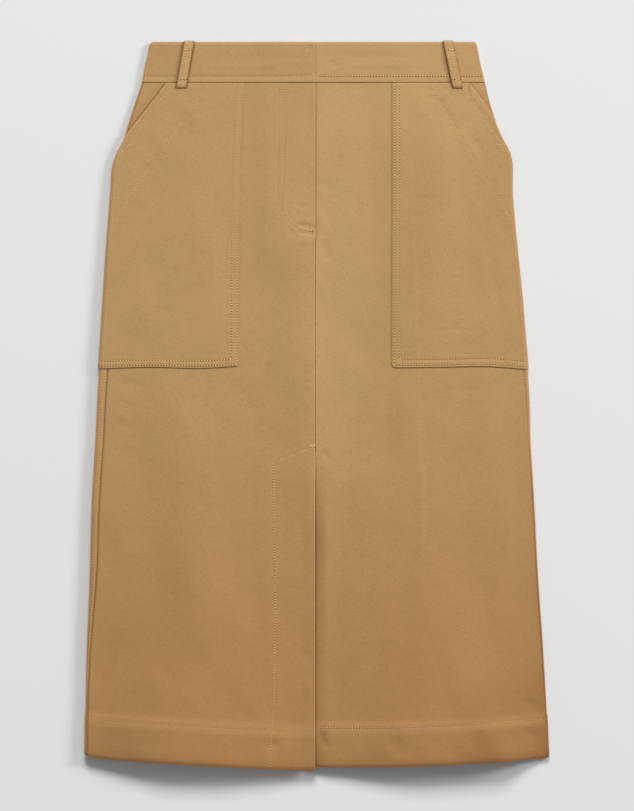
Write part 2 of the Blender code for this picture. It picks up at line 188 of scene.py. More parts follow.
# Finer creases of the front, as the ridges above, with troughs below zero. They lie in all layers alike.
CREASES = (
    # waist to pocket, on the left
    (-160, 66, -150, 118, 3, 15, -0.4),
    (-182, 84, -170, 128, 2, 12, 0.3),
    (-138, 60, -124, 104, -3, 13, 0.22),
    (-196, 118, -168, 160, 4, 9, 0.16),
    (-206, 168, -186, 196, -3, 10, -0.16),
    (-112, 150, -88, 320, 8, 26, -0.55),
    (-150, 150, -118, 300, 12, 24, 0.35),
    (-178, 210, -166, 330, -6, 18, -0.22),
    (-198, 215, -196, 330, 4, 15, 0.24),
    # beside the fly
    (-12, 50, -9, 132, 2, 12, -0.45),
    (-24, 52, -30, 150, -4, 13, 0.25),
    (-30, 163, -5, 171, 2, 5.5, 0.2),
    (-28, 176, -4, 182, -2, 5, -0.2),
    (-26, 187, -4, 190, 1, 5, 0.18),
    (-25, 201, 3, 206.5, 1, 3.6, -0.74),
    (-22, 196, -3, 200, 1, 5.5, 0.4),
    (-27, 209.5, 3, 213, 1, 3.6, -0.66),
    (-27, 217, -3, 221, -1, 5.5, 0.2),
    (-34, 206, -18, 222, 1, 4.5, -0.3),
    (-22, 226, -5, 240, 3, 8, -0.12),
    # little puckers down the centre seam
    (-17, 246, -3, 249, 1, 5, 0.16),
    (-14, 262, -3, 260, -1, 4.5, -0.14),
    (-16, 283, -3, 281, 1, 5.5, 0.14),
    (-15, 309, -3, 312, 1, 5, 0.2),
    (-18, 329, -3, 325, -1, 5, -0.15),
    (-17, 353, -3, 357, 1, 5.5, 0.26),
    (-19, 367, -4, 364, 1, 5, -0.2),
    (-16, 378, -3, 377, -1, 5, 0.26),
    (-19, 389, -4, 386, 1, 4.5, -0.22),
    (-17, 399, -3, 398, 1, 5, 0.26),
    (-19, 410, -4, 408, 1, 4.5, -0.24),
    (-16, 419, -3, 418, -1, 4.5, 0.22),
    (5, 150, 14, 168, 1, 8, -0.35),
    (2, 176, 9, 214, -1, 8, 0.4),
    (5, 216, 12, 244, 1, 8, -0.45),
    (3, 258, 11, 292, 1, 7, 0.18),
    (2, 446, 14, 462, 1, 6, -0.45),
    (4, 458, 16, 486, 2, 8, 0.22),
    # between the fly and the right pocket, and on that pocket
    (62, 56, 52, 250, 6, 20, -0.5),
    (34, 60, 26, 210, 3, 20, 0.3),
    (74, 150, 68, 232, 2, 12, 0.3),
    (100, 48, 118, 92, 4, 18, 0.45),
    (137, 70, 152, 106, 2, 9, -0.5),
    (128, 52, 146, 66, 1, 10, 0.45),
    (150, 92, 182, 142, 2, 8, 0.26),
    (170, 104, 186, 128, 1, 8, -0.28),
    (150, 124, 172, 214, -3, 13, -0.42),
    (168, 214, 182, 312, -4, 15, -0.4),
    (196, 132, 208, 208, 2, 12, 0.42),
    (200, 226, 212, 330, 2, 13, 0.3),
    (114, 318, 196, 318.5, 1.5, 3.2, -0.16),
    (86, 337, 122, 338, 1, 3.2, -0.13),
    (118, 328, 190, 330, -1, 5, 0.1),
    # below the left pocket
    (-90, 340, -104, 352, 1, 7, 0.45),
    (-228, 374, -186, 384, 3, 7, -0.34),
    (-226, 386, -196, 397, 2, 5.5, 0.22),
    (-226, 397, -196, 404, 2, 5.5, -0.24),
    (-228, 407, -204, 418, 2, 6.5, 0.32),
    (-226, 421, -200, 430, 2, 6, -0.26),
    (-216, 441, -190, 450, 2, 7, 0.16),
    (-168, 366, -140, 430, -6, 22, 0.35),
    (-182, 392, -150, 470, 6, 22, -0.35),
    (-122, 420, -112, 520, -6, 18, 0.32),
    (-88, 372, -62, 470, 6, 20, -0.42),
    (-60, 380, -40, 440, 4, 14, 0.24),
    (-236, 500, -206, 596, 8, 22, 0.45),
    (-196, 500, -180, 620, -8, 24, -0.3),
    # below the right pocket
    (30, 290, 62, 356, -6, 18, -0.42),
    (12, 318, 30, 372, 4, 16, 0.26),
    (32, 366, 22, 520, -5, 20, 0.42),
    (82, 376, 66, 482, 6, 20, -0.5),
    (104, 352, 96, 470, -6, 20, 0.38),
    (132, 382, 192, 385, 1.5, 3.4, -0.2),
    (120, 392, 176, 394, 1, 5, 0.12),
    (138, 400, 190, 399, 1, 3.4, -0.1),
    (158, 362, 168, 430, 3, 15, -0.4),
    (186, 366, 176, 372, 0.5, 7, 0.2),
    (200, 480, 206, 620, 4, 16, 0.22),
    (84, 520, 78, 576, 3, 18, -0.32),
    (108, 540, 136, 600, 4, 18, 0.3),
    # lower half, on the left
    (-212, 640, -244, 726, -6, 17, -0.95),
    (-196, 690, -166, 742, 6, 22, 0.6),
    (-168, 580, -150, 640, 5, 22, -0.36),
    (-130, 650, -92, 740, -8, 20, -0.32),
    (-152, 706, -128, 748, 3, 13, 0.26),
    (-92, 736, -62, 748, 2, 8, -0.42),
    (-56, 668, -42, 752, 3, 12, 0.38),
    (-58, 686, -40, 688, 0.8, 3.4, 0.14),
    (-58, 700, -40, 703, 0.8, 3.4, 0.15),
    (-60, 715, -38, 718, 0.8, 3.8, 0.18),
    (-58, 728, -38, 733, 1, 4.2, 0.22),
    (-38, 600, -10, 648, 4, 20, 0.3),
    (-24, 664, -6, 690, 2, 9, -0.32),
    (-16, 696, -6, 726, 2, 9, 0.26),
    # lower half, on the right
    (24, 500, 6, 640, -5, 18, 0.42),
    (54, 560, 46, 664, 4, 19, -0.56),
    (28, 690, 16, 740, 3, 15, -0.42),
    (82, 610, 72, 736, 5, 19, 0.44),
    (74, 652, 98, 668, 1.5, 5.5, 0.2),
    (78, 660, 96, 678, 1.5, 5, -0.15),
    (172, 560, 184, 680, 4, 22, -0.52),
    (186, 690, 196, 738, 3, 15, -0.38),
    (146, 700, 162, 746, 2, 12, 0.28),
    (224, 724, 246, 736, 1, 8, -0.6),
    (226, 740, 246, 750, 1, 7, 0.3),
    # in the hem
    (-60, 771, -40, 777, 1.5, 9, -0.8),
    (-44, 783, -16, 774, 1, 8, 0.26),
    (-142, 762, -124, 796, 2, 14, 0.24),
    (-178, 764, -168, 792, 2, 15, -0.24),
    (-206, 762, -222, 792, 2, 14, -0.5),
    (-92, 764, -80, 798, 2, 13, -0.26),
    (4, 756, 13, 780, -2, 8, -0.95),
    (34, 762, 44, 796, 2, 15, 0.25),
    (78, 764, 98, 786, 2, 14, -0.48),
    (86, 748, 98, 758, 1, 7, 0.22),
    (112, 764, 124, 792, 2, 12, 0.25),
    (140, 760, 150, 792, 2, 11, -0.3),
    (160, 758, 172, 788, -2, 11, 0.28),
    (196, 764, 184, 788, 2, 12, -0.34),
    (222, 756, 244, 768, 2, 8, -0.6),
    (216, 772, 244, 782, 1, 9, 0.3),
)

# Creases of the back, as lifts off the surface on which it lies
BACK_CREASES = (
    (-150, 90, -120, 290, 10, 20, 0.9),
    (118, 120, 150, 330, -8, 22, 1),
    (-30, 200, -12, 420, 8, 18, 0.7),
    (-196, 380, -176, 600, -8, 24, 1.2),
    (60, 400, 74, 700, 10, 22, 1.1),
    (-90, 520, -70, 748, -6, 20, 0.9),
    (182, 470, 200, 720, 8, 20, 1),
    (-40, 60, 20, 72, 3, 8, 0.4),
    (10, 764, 18, 790, 2, 12, 0.6),
    (-160, 762, -150, 786, 2, 13, 0.6),
)

# Folds along and across the waistband, on the upper side alone
BAND_CREASES = (
    (-128, 20, -44, 18, 1, 8, -0.26),
    (-60, 15, -6, 17.5, -1, 7, -0.24),
    (-124, 27, -30, 27, 1, 6, 0.15),
    (-52, 25, -14, 29, 1, 4, -0.13),
    (-110, 9, -64, 11, -1, 5, 0.14),
    (-13, 8.5, -4, 4, 0.5, 4.5, -0.55),
    (-172, 38, -163, 43, 0.5, 4, -0.24),
    (-180, 14, -156, 30, 2, 12, -0.18),
    (12, 21, 23, 28, 1, 4.5, -0.3),
    (10, 9, 96, 10, 1, 4.5, 0.14),
    (30, 16, 118, 15, -1, 4, -0.15),
    (20, 25, 104, 27, 1, 4.5, 0.12),
    (70, 31, 132, 29, -1, 4, -0.12),
    (158, 12, 172, 32, 1, 8, 0.16),
)


def column(table, number):
    return np.array([row[number] for row in table])


def along(table, number, at):
    """Smooth curve through one column of a table, with the slope at each row taken from its neighbours."""
    xs, ys = column(table, 0), column(table, number)
    slopes = np.gradient(ys, xs)
    at = np.clip(at, xs[0], xs[-1])
    i = np.clip(np.searchsorted(xs, at, side="right") - 1, 0, len(xs) - 2)
    width = xs[i + 1] - xs[i]
    t = (at - xs[i]) / width
    start = (1 + 2 * t) * (1 - t) ** 2 * ys[i] + t * (1 - t) ** 2 * width * slopes[i]
    end = t**2 * (3 - 2 * t) * ys[i + 1] - t**2 * (1 - t) * width * slopes[i + 1]
    return start + end


def ease(t):
    """0 below 0, 1 above 1, and smooth between."""
    t = np.clip(t, 0.0, 1.0)
    return t * t * (3 - 2 * t)


def mix(a, b, share):
    return a + (b - a) * share


def setting_in(at, start, end):
    """0 before the start, 1 from the end on, and smooth between."""
    return ease((at - start) / (end - start))


def line(distance, strength, width):
    """A soft line: its strength in its middle, and nearly 0 further from it than twice its width."""
    return strength * np.exp(-((distance / width) ** 2))


def edge_dip(distance, depth, width):
    """A surface that turns down over the last few millimetres before an edge."""
    return -depth * (1 - ease(np.abs(distance) / width)) ** 1.5


class Side:
    """One half of the lying skirt: sign is -1 on the left and +1 on the right."""

    def __init__(self, sign, tables, looks):
        self.sign = sign
        self.left = sign < 0
        self.number = 1 if self.left else 2
        self.hem, self.mouth, self.mouth_round, self.bottom = tables
        self.seam_dip, self.seam_dark, self.pocket_dark = looks

    def edge(self, down):
        return along(OUTLINE, self.number, down) + self.sign * FULLNESS

    def fold_height(self, down):
        return along(LOFT, LEFT_FOLD if self.left else RIGHT_FOLD, down)

    def lobe_height(self, down):
        return along(LOFT, LEFT_LOBE if self.left else RIGHT_LOBE, down)

    def fold_top(self, down):
        return self.edge(down) - self.sign * self.fold_height(down) / 2

    def flat(self, down):
        """Reach of the top of the side fold."""
        return np.abs(self.fold_top(down) - CENTRE_X)

    def turned(self, reach, down):
        """Angle in radians from the top of the side fold. It is below 0 on the flat."""
        return (reach - self.flat(down)) / (self.fold_height(down) / 2)

    def past_fold(self, down, angle):
        """Reach of an angle in degrees from the top of the side fold."""
        return self.flat(down) + np.radians(angle) * self.fold_height(down) / 2

    def under_middle(self, down):
        """Reach of the middle of the underside, round the side fold."""
        foot = self.past_fold(down, 180)
        return foot + np.abs(skin(self.sign * foot, down)[..., 0] - CENTRE_X)

    def seam(self, down):
        """Reach of the side seam."""
        inset = along(SIDE_SEAM, self.number, down) + FULLNESS
        radius = self.fold_height(down) / 2
        on_fold = radius * np.arcsin(np.clip(1 - inset / radius, 0.0, 1.0))
        return self.flat(down) + np.where(inset > radius, radius - inset, on_fold)

    def front_end(self, down):
        """Reach of the front's edge at the side seam."""
        return self.seam(down) - SEAM_GAP / 2

    def pocket(self, down):
        """Reach of the pocket's inner edge."""
        return np.abs(along(POCKET_LINE, self.number, down) - CENTRE_X)

    def pocket_share(self, reach, down):
        """Place across the pocket: 0 at its inner edge and 1 at the top of the side fold."""
        return (reach - self.pocket(down)) / (self.flat(down) - self.pocket(down))

    def pocket_top(self, share, angle):
        """Distance down to the pocket's mouth."""
        flat = np.interp(share, column(self.mouth, 0), column(self.mouth, 1))
        on_fold = np.interp(angle, column(self.mouth_round, 0), column(self.mouth_round, 1))
        return np.where(angle > 0, on_fold, flat)


# How deep a side seam dips, how dark its painted shade line is, and how dark the painted shade line round
# the pocket is
LEFT_LOOKS, RIGHT_LOOKS = (0.5, 0.5, 0.2), (0.2, 0, 0)
LEFT = Side(-1, (LEFT_HEM, LEFT_MOUTH, LEFT_MOUTH_ROUND, LEFT_BOTTOM), LEFT_LOOKS)
RIGHT = Side(+1, (RIGHT_HEM, RIGHT_MOUTH, RIGHT_MOUTH_ROUND, RIGHT_BOTTOM), RIGHT_LOOKS)


def folds(table, x, down, fade):
    """Height that a table of ridges and troughs adds, each fading out over a share of its length."""
    total = np.zeros(np.broadcast(x, down).shape)
    for x0, down0, x1, down1, bow, half_width, height in table:
        length = math.hypot(x1 - x0, down1 - down0)
        ux, ud = (x1 - x0) / length, (down1 - down0) / length
        t = ((x - x0) * ux + (down - down0) * ud) / length
        aside = (x - x0) * ud - (down - down0) * ux - bow * 4 * t * (1 - t)
        ends = ease(t / fade) * ease((1 - t) / fade)
        total = total + height * ease(1 - np.abs(aside) / half_width) * ends
    return total


def top_height(x, down):
    """Height of the upper surface between the tops of the two side folds."""
    halves = []
    centre = along(LOFT, CENTRE, down)
    for side in (LEFT, RIGHT):
        fold, lobe = side.fold_height(down), side.lobe_height(down)
        share = (x - side.fold_top(down)) / (CENTRE_X - side.fold_top(down))
        outer = mix(fold, lobe, ease(share / along(LOBE_RISE, side.number, down)))
        inner = mix(lobe, centre, ease(2 * share - 1))
        raised = ease(share / FOLD_FADE) * folds(RIDGES, x, down, RIDGE_FADE)
        halves.append(np.where(share < 0.5, outer, inner) + raised)
    return np.where(x < CENTRE_X, halves[0], halves[1])


def skin(across, down):
    """Points on the panels' outer skin in millimetres: on top, round the folds and on the underside."""
    across, down = np.broadcast_arrays(np.asarray(across, float), np.asarray(down, float))
    x = CENTRE_X + across
    z = top_height(x, down)
    for side in (LEFT, RIGHT):
        radius = side.fold_height(down) / 2
        turned = side.turned(side.sign * across, down)
        bend = np.clip(turned, 0.0, math.pi)
        beyond = np.maximum(turned - math.pi, 0.0) * radius
        round_x = side.fold_top(down) + side.sign * (radius * np.sin(bend) - beyond)
        x = np.where(turned > 0, round_x, x)
        z = np.where(turned > 0, radius * (1 + np.cos(bend)), z)
    return np.stack([x, ORIGIN_DOWN - down, z], axis=-1)


def outward(across, down, step=1.0):
    """Unit normals of the skin."""
    along_cloth = skin(across + step, down) - skin(across - step, down)
    downwards = skin(across, down + step) - skin(across, down - step)
    normal = np.cross(downwards, along_cloth)
    return normal / np.linalg.norm(normal, axis=-1, keepdims=True)


def lifted(across, down, height):
    """Points at a height off the skin, none of them below the surface on which the skirt lies."""
    points = skin(across, down) + outward(across, down) * np.asarray(height)[..., None]
    points[..., 2] = np.maximum(points[..., 2], 0.0)
    return points


def at_hem(side_hem, across, row):
    """Distance down of rows of points, stretched near the hem so that the last row lies on the hem line."""
    shape = setting_in(row, HEM_SHAPE_FROM, HEM_SHAPE_TO)
    return row + (along(side_hem, 1, skin(across, row)[..., 0]) - LENGTH) * shape


WAVES = 22


def sway(across, down, seed, shortest, longest, height):
    """Gentle unevenness of cloth: a sum of waves of mixed lengths and directions."""
    draw = np.random.default_rng(seed)
    total = np.zeros(np.broadcast(across, down).shape)
    for _ in range(WAVES):
        length = draw.uniform(shortest, longest)
        heading = draw.uniform(0, math.pi)
        phase = draw.uniform(0, 2 * math.pi)
        run = across * math.cos(heading) + down * math.sin(heading)
        total = total + np.sin(2 * math.pi * run / length + phase) * length / longest
    return total * height / math.sqrt(WAVES)


# Unevenness of the whole cloth, small and broad: seed, shortest wave, longest wave, height
SMALL_SWAY, BROAD_SWAY = (4, 16, 60, 0.1), (9, 60, 150, 0.32)
CREASE_FADE = 0.35
RELIEF_TURN, RELIEF_FADE = 0.6, 1.2  # radians round a fold from which the relief fades, and over how many


def cloth_relief(across, down):
    """Creases and unevenness that all layers of the front have in common."""
    upper = np.ones(np.broadcast(across, down).shape)
    for side in (LEFT, RIGHT):
        turned = side.turned(side.sign * across, down)
        upper = upper * (1 - ease((turned - RELIEF_TURN) / RELIEF_FADE))
    relief = folds(CREASES, CENTRE_X + across, down, CREASE_FADE)
    relief = relief + sway(across, down, *SMALL_SWAY) + sway(across, down, *BROAD_SWAY)
    return relief * upper


def path(across, down):
    """A row of places, each a distance across and one down."""
    return np.stack(np.broadcast_arrays(across, down), axis=1)


def distances(points):
    """Distance of every point of a row from the first one, along the row."""
    return np.insert(np.cumsum(np.linalg.norm(np.diff(points, axis=0), axis=1)), 0, 0.0)


def curve(points, step=0.6):
    """A row of places at even steps along a smooth curve through points, each an x and a distance down."""
    points = np.array([(x - CENTRE_X, down) for x, down in points], float)
    run = distances(points)
    table = np.column_stack([run, points])
    at = np.linspace(0, run[-1], int(run[-1] / step) + 1)
    return path(along(table, 1, at), along(table, 2, at))


# Rows of stitches: x, distance down
FLY_OUTER = (
    (-41, 46), (-40.4, 97), (-42.4, 164), (-41.8, 180.5), (-37.1, 193.8), (-29, 202.6), (-20.9, 209.2),
    (-10.5, 213.6), (-2.6, 215.8),
)
FLY_INNER = (
    (-34.4, 46), (-33.8, 97), (-35.8, 151), (-35.2, 181.7), (-29, 196), (-22.4, 202.6), (-14.3, 206.7),
    (-2.6, 208.3),
)
VENT_SLANT = ((-3.4, 446.1), (-6.6, 447.3), (-14.3, 450.1), (-28.6, 455.3), (-44.2, 460.9), (-47, 462.2))
VENT_DROP = (
    (-47.7, 462.9), (-48.1, 486), (-47.1, 526), (-47.3, 702), (-48.4, 738), (-50.1, 757), (-51.9, 797.5),
)
LEFT_FACING_ROW = (
    (-118.8, 46), (-143, 79.4), (-169, 118.4), (-187.8, 142.7), (-213.4, 182.8), (-224, 202),
)
RIGHT_FACING_ROW = ((121, 46), (149.6, 90.4), (183.4, 148.7), (208, 185), (215, 196))
LEFT_MOUTH_ROW = ((-159.9, 46.5), (-183.3, 76.8), (-205.2, 109.9), (-220.3, 131.8), (-226, 140))
RIGHT_MOUTH_ROW = ((160.4, 46), (162.6, 49.5), (184.5, 84.8), (195.4, 100.5), (209, 127), (214, 138))
ROWS_TOP = 46.0
HEM_ROW = LENGTH - HEM_DEPTH + 1
# Where the hem's row starts on each front, across, and how far it stays off the side seams
LEFT_HEM_START, RIGHT_HEM_START, HEM_ROW_OFF = -50.0, 2.2, 1.0
# Distances of rows from a pocket's inner edge and bottom, and from the side seams below it
POCKET_ROWS = (2.3, 8.2)
LEFT_BOTTOM_ROWS, RIGHT_BOTTOM_ROWS = (2.1, 7.5), (2.6, 8.8)
SEAM_ROWS = (2.7, 7.6)
SEAM_ROWS_TOP = 362.0
HALF_HEM = 250.0  # half of the hem's width, in round figures
# The waistband's row: its level on each side, and its level at the left end, which it nears over a length
BAND_ROW_LEFT, BAND_ROW_RIGHT, BAND_ROW_END, BAND_ROW_RUN = 36.8, 37.5, 34.8, 40.0


def front_rows(side):
    """Stitch rows of a front panel."""
    rows = []
    if side.left:
        rows = [curve(points) for points in (FLY_OUTER, FLY_INNER, VENT_SLANT, VENT_DROP)]
    start = LEFT_HEM_START if side.left else RIGHT_HEM_START
    across = np.linspace(start, side.sign * (side.seam(HEM_ROW) - HEM_ROW_OFF), 400)
    rows.append(path(across, at_hem(side.hem, across, HEM_ROW)))
    return rows


def pocket_rows(side):
    """Stitch rows of a pocket: two along inner edge and bottom, one along the mouth, and the facing's."""
    rows = []
    for inner, bottom in zip(POCKET_ROWS, LEFT_BOTTOM_ROWS if side.left else RIGHT_BOTTOM_ROWS):
        down = np.linspace(ROWS_TOP, side.bottom[0][1] - bottom, 500)
        rows.append(path(side.sign * (side.pocket(down) + inner), down))
        share = np.linspace(0, 1, 240)
        down = along(side.bottom, 1, share) - bottom
        reach = mix(side.pocket(down) + inner, side.flat(down), share)
        round_fold = side.past_fold(down[-1], np.linspace(3, POCKET_REACH - 4, 40))
        down = np.append(down, np.full(40, down[-1]))
        rows.append(path(side.sign * np.append(reach, round_fold), down))
    rows.append(curve(LEFT_MOUTH_ROW if side.left else RIGHT_MOUTH_ROW))
    rows.append(curve(LEFT_FACING_ROW if side.left else RIGHT_FACING_ROW))
    return rows


def back_rows():
    """Stitch rows of the back panel: two beside each side seam below the pockets, and the hem's."""
    rows = []
    for side in (LEFT, RIGHT):
        end = HEM_ROW + at_hem(BACK_HEM, side.sign * HALF_HEM, LENGTH) - LENGTH
        for off_seam in SEAM_ROWS:
            down = np.linspace(SEAM_ROWS_TOP, end, 700)
            rows.append(path(side.sign * (side.seam(down) + off_seam), down))
        start, end = side.seam(HEM_ROW) + HEM_ROW_OFF, side.past_fold(HEM_ROW, 180) + HALF_HEM
        across = side.sign * np.linspace(start, end, 500)
        rows.append(path(across, at_hem(BACK_HEM, across, HEM_ROW)))
    return rows


def band_rows():
    """The waistband's stitch row, on both sides of the centre and round the back."""
    rows = []
    for side, level in ((LEFT, BAND_ROW_LEFT), (RIGHT, BAND_ROW_RIGHT)):
        reach = np.linspace(2, side.past_fold(level, 180) + side.flat(level), 700)
        rise = (BAND_ROW_END - BAND_ROW_LEFT) * ease(1 - reach / BAND_ROW_RUN) if side.left else 0
        rows.append(path(side.sign * reach, level + rise))
    return rows


FAR = 1000.0  # distance where nothing is near
ROW_MARGIN = 8.0  # distances are worked out this far round a row's own extent
ROW_PARTS = 120  # parts of a long row, at least, between which its distance is found


def off_rows(rows, across, down):
    """Distance of every place from the nearest of the rows."""
    across, down = np.broadcast_arrays(across, down)
    nearest = np.full(across.shape, FAR)
    for row in rows:
        thin = row[:: max(1, len(row) // ROW_PARTS)]
        low, high = row.min(axis=0) - ROW_MARGIN, row.max(axis=0) + ROW_MARGIN
        near = (across > low[0]) & (across < high[0]) & (down > low[1]) & (down < high[1])
        if not near.any():
            continue
        places = np.stack([across[near], down[near]], axis=-1)
        best = np.full(len(places), FAR)
        for a, b in zip(thin[:-1], thin[1:]):
            run = b - a
            t = np.clip(((places - a) @ run) / max(run @ run, 1e-9), 0, 1)
            best = np.minimum(best, np.linalg.norm(places - a - t[:, None] * run, axis=1))
        nearest[near] = np.minimum(nearest[near], best)
    return nearest


# Trough along a stitch row: depth, width. Swell beside it: distance, height, width.
ROW_DEPTH, ROW_WIDTH = 0.16, 1.0
SWELL_OFF, SWELL_HEIGHT, SWELL_WIDTH = 2.6, 0.05, 1.4
# Puckers across it: shortest wave, longest wave, height, and how far from the row they reach
PUCKERS, PUCKER_REACH = (5, 11, 0.06), 6.0
FRONT_SEED, BACK_SEED, POCKET_SEED, BAND_SEED = 21, 33, 45, 57


def sewn(rows, across, down, seed):
    """Trough along stitch rows, a slight swell beside them and fine puckers across them."""
    off = off_rows(rows, across, down)
    relief = line(off, -ROW_DEPTH, ROW_WIDTH) + line(off - SWELL_OFF, SWELL_HEIGHT, SWELL_WIDTH)
    return relief + line(off, sway(across, down, seed, *PUCKERS), PUCKER_REACH)


def spaced(stops):
    """Places from the first stop to the last, in even steps. Stops and steps take turns in the list."""
    places = [stops[0]]
    for number in range(1, len(stops), 2):
        step, stop = stops[number], stops[number + 1]
        start = places[-1]
        count = max(1, round(abs(stop - start) / step))
        places += [start + (stop - start) * (i + 1) / count for i in range(count)]
    return np.array(places)


# Levels of the panels' rows of points, closest at edges and rows of stitches
PANEL_ROWS = spaced((
    PANEL_TOP, 0.9, 47.8, 2.4, FLY_END - 24, 1.6, FLY_END + 14, 2.6, 354, 0.8, 364, 2.6, VENT_TOP - 8, 1.3,
    VENT_TOP + 18, 2.6, HEM_ROW - 18, 1.8, HEM_ROW - 4, 0.9, HEM_ROW + 4, 2.2, LENGTH - 8, 1.3, LENGTH,
))
# Rounded edges: their share of the wall, their parts, and the least angle in degrees that is rounded
EDGE_ROUND, ROUND_SEGMENTS, ROUND_ANGLE = 0.45, 2, 55


def new_object(name, data):
    holder = bpy.data.objects.new(name, data)
    bpy.context.scene.collection.objects.link(holder)
    return holder


def new_piece(name, points, faces):
    """A piece of the skirt's one body, from points in millimetres."""
    mesh = bpy.data.meshes.new(name)
    mesh.from_pydata((points * MM).tolist(), [], faces.tolist())
    mesh.shade_smooth()
    piece = new_object(name, mesh)
    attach(piece, "root")
    return piece


def shell(name, across, down, height, shade, wall, two_layers=None, keep=None, place=lifted):
    """A thin piece of cloth over a grid of places, its wall on the inner side and its edges rounded."""
    points = place(across, down, height)
    rows, columns = points.shape[:2]
    index = np.arange(rows * columns).reshape(rows, columns)
    faces = np.stack([index[:-1, :-1], index[:-1, 1:], index[1:, 1:], index[1:, :-1]], axis=-1)
    if keep is not None:
        faces = faces[keep]
    faces = faces.reshape(-1, 4)
    # rows run down and columns across, so this order faces inwards where across grows
    if across[0, 1] > across[0, 0]:
        faces = faces[:, ::-1]
    used = np.unique(faces)
    renumber = np.zeros(rows * columns, int)
    renumber[used] = np.arange(len(used))
    piece = new_piece(name, points.reshape(-1, 3)[used], renumber[faces])
    # the shade attribute carries painted light above 0 and painted shade below 0
    shades = piece.data.attributes.new("shade", "FLOAT", "POINT")
    shades.data.foreach_set("value", np.broadcast_to(shade, (rows, columns)).reshape(-1)[used])
    body = piece.modifiers.new("cloth", "SOLIDIFY")
    body.thickness = wall * MM
    body.offset = -1.0
    body.use_even_offset = False
    if two_layers is not None:
        group = piece.vertex_groups.new(name="layers")
        doubled = np.broadcast_to(two_layers, (rows, columns)).reshape(-1)[used]
        group.add(np.flatnonzero(doubled).tolist(), 1.0, "REPLACE")
        body.vertex_group = "layers"
        body.thickness_vertex_group = 0.5
        body.thickness = 2 * wall * MM
    rounding = piece.modifiers.new("rounded edges", "BEVEL")
    rounding.width = EDGE_ROUND * wall * MM
    rounding.segments = ROUND_SEGMENTS
    rounding.limit_method = "ANGLE"
    rounding.angle_limit = math.radians(ROUND_ANGLE)
    rounding.use_clamp_overlap = True
    return piece


# Beside the vent: distance down, how far the right front dips, and the left front's edge lifts
VENT_DIP = ((440, 0), (470, 0.5), (505, 1.6), (545, 2.8), (600, 2.2), (690, 1.8), (801, 2.2))
VENT_LIFT = ((440, 0), (480, 0.2), (545, 1.3), (600, 0.9), (690, 0.5), (801, 0.4))
VENT_DIP_REACH, VENT_LIFT_REACH = 13, 16
# Height of the left front over the right one, at the closed seam, more at the fly, and more at the vent
SEAM_LAP, FLY_LAP, VENT_LAP = 0.3, CLOTH + SEAM_GAP - 0.3, 1.0
# Each changes from this far below the fly's end, or above the vent's top, over this length
FLY_CHANGE, VENT_CHANGE = (2, 50), (4, 40)
UNDER_DIP, UNDER_DIP_REACH = 1.3, 4


def left_lap(across, down):
    """How far the left front lies above the right one: at the fly and the vent, and level at the seam."""
    fly = 1 - ease((down - FLY_END - FLY_CHANGE[0]) / FLY_CHANGE[1])
    vent = ease((down - VENT_TOP + VENT_CHANGE[0]) / VENT_CHANGE[1])
    layers = SEAM_LAP + FLY_LAP * fly + VENT_LAP * vent
    lift = along(VENT_LIFT, 1, down) * ease(1 + across / VENT_LIFT_REACH)
    return layers * ease((RISE_END + across) / (RISE_END - RISE_FULL)) + lift


def right_dip(across, down):
    """The right front lies lower where it reaches under the left one, and beside the vent."""
    under = UNDER_DIP * ease(-across / UNDER_DIP_REACH)
    vent = along(VENT_DIP, 1, down) * ease(1 - across / VENT_DIP_REACH)
    return -under - vent


def off_pocket(side, across, down):
    """How far a place on a panel lies outside its pocket, beside the inner edge or below the bottom."""
    reach = side.sign * across
    bottom = along(side.bottom, 1, side.pocket_share(reach, down))
    to_side = np.maximum(side.pocket(down) - reach, 0)
    below = np.maximum(down - bottom, 0)
    return np.hypot(to_side, below)


# Share of the height above a slanted mouth that is distance from it: on the flat, and round the fold
FLAT_SLANT, ROUND_SLANT = 0.5, 0.25


def off_mouth(side, across, down):
    """How far a place on a panel lies outside the mouth of the pocket on it. FAR where there is none."""
    reach = side.sign * across
    share, angle = side.pocket_share(reach, down), np.degrees(side.turned(reach, down))
    above = side.pocket_top(share, angle) - down
    at_mouth = (share > side.mouth[0][0]) & (above > 0) & (angle < POCKET_REACH)
    return np.where(at_mouth, above * np.where(angle > 0, ROUND_SLANT, FLAT_SLANT), FAR)


def loop_middle(ends, down):
    """x of a belt loop's middle."""
    return mix(ends[0], ends[1], (down - LOOP_TOP) / (LOOP_END - LOOP_TOP))


# Painted shadow on the cloth beside each belt loop, on the loop's left and right sides, and below it:
# strength, width
LEFT_LOOP_DARK = ((0.95, 0.9), (0.9, 1.5))
RIGHT_LOOP_DARK = ((1.1, 1.3), (0.15, 0.8))
BELOW_LOOP_DARK = (0.9, 1.3)


def loop_dark(x, down):
    """Painted contact shadow on the cloth beside and below the belt loops."""
    total = 0.0
    for ends, sides in ((LEFT_LOOP, LEFT_LOOP_DARK), (RIGHT_LOOP, RIGHT_LOOP_DARK)):
        middle = loop_middle(ends, down)
        aside = np.maximum(np.abs(x - middle) - LOOP_WIDTH / 2, 0)
        off = np.hypot(aside, np.maximum(down - LOOP_END, 0))
        on_left, on_right = [line(off, *look) for look in sides]
        below = line(off, *BELOW_LOOP_DARK) * (aside == 0)
        total = total + np.where(aside == 0, below, np.where(x < middle, on_left, on_right))
    return total


# The turned-up hem lies higher than the cloth above it, from this far above its row, over this length
HEM_STEP, HEM_STEP_ABOVE, HEM_STEP_RUN = 0.7, 9, 8
# It is darkened with painted shade below its row, and more so near its edge where it turns under: strength,
# length
HEM_DARK, HEM_EDGE_DARK = (0.1, 3), (0.3, 15)


def hem_step(row):
    return HEM_STEP * ease((row - HEM_ROW + HEM_STEP_ABOVE) / HEM_STEP_RUN)


def hem_dark(row):
    """The hem is a little darker than the cloth above it, and more so where it turns under: painted shade.
    """
    (below, run), (at_edge, near) = HEM_DARK, HEM_EDGE_DARK
    return below * ease((row - HEM_ROW) / run) + at_edge * ease(1 - (LENGTH - row) / near)
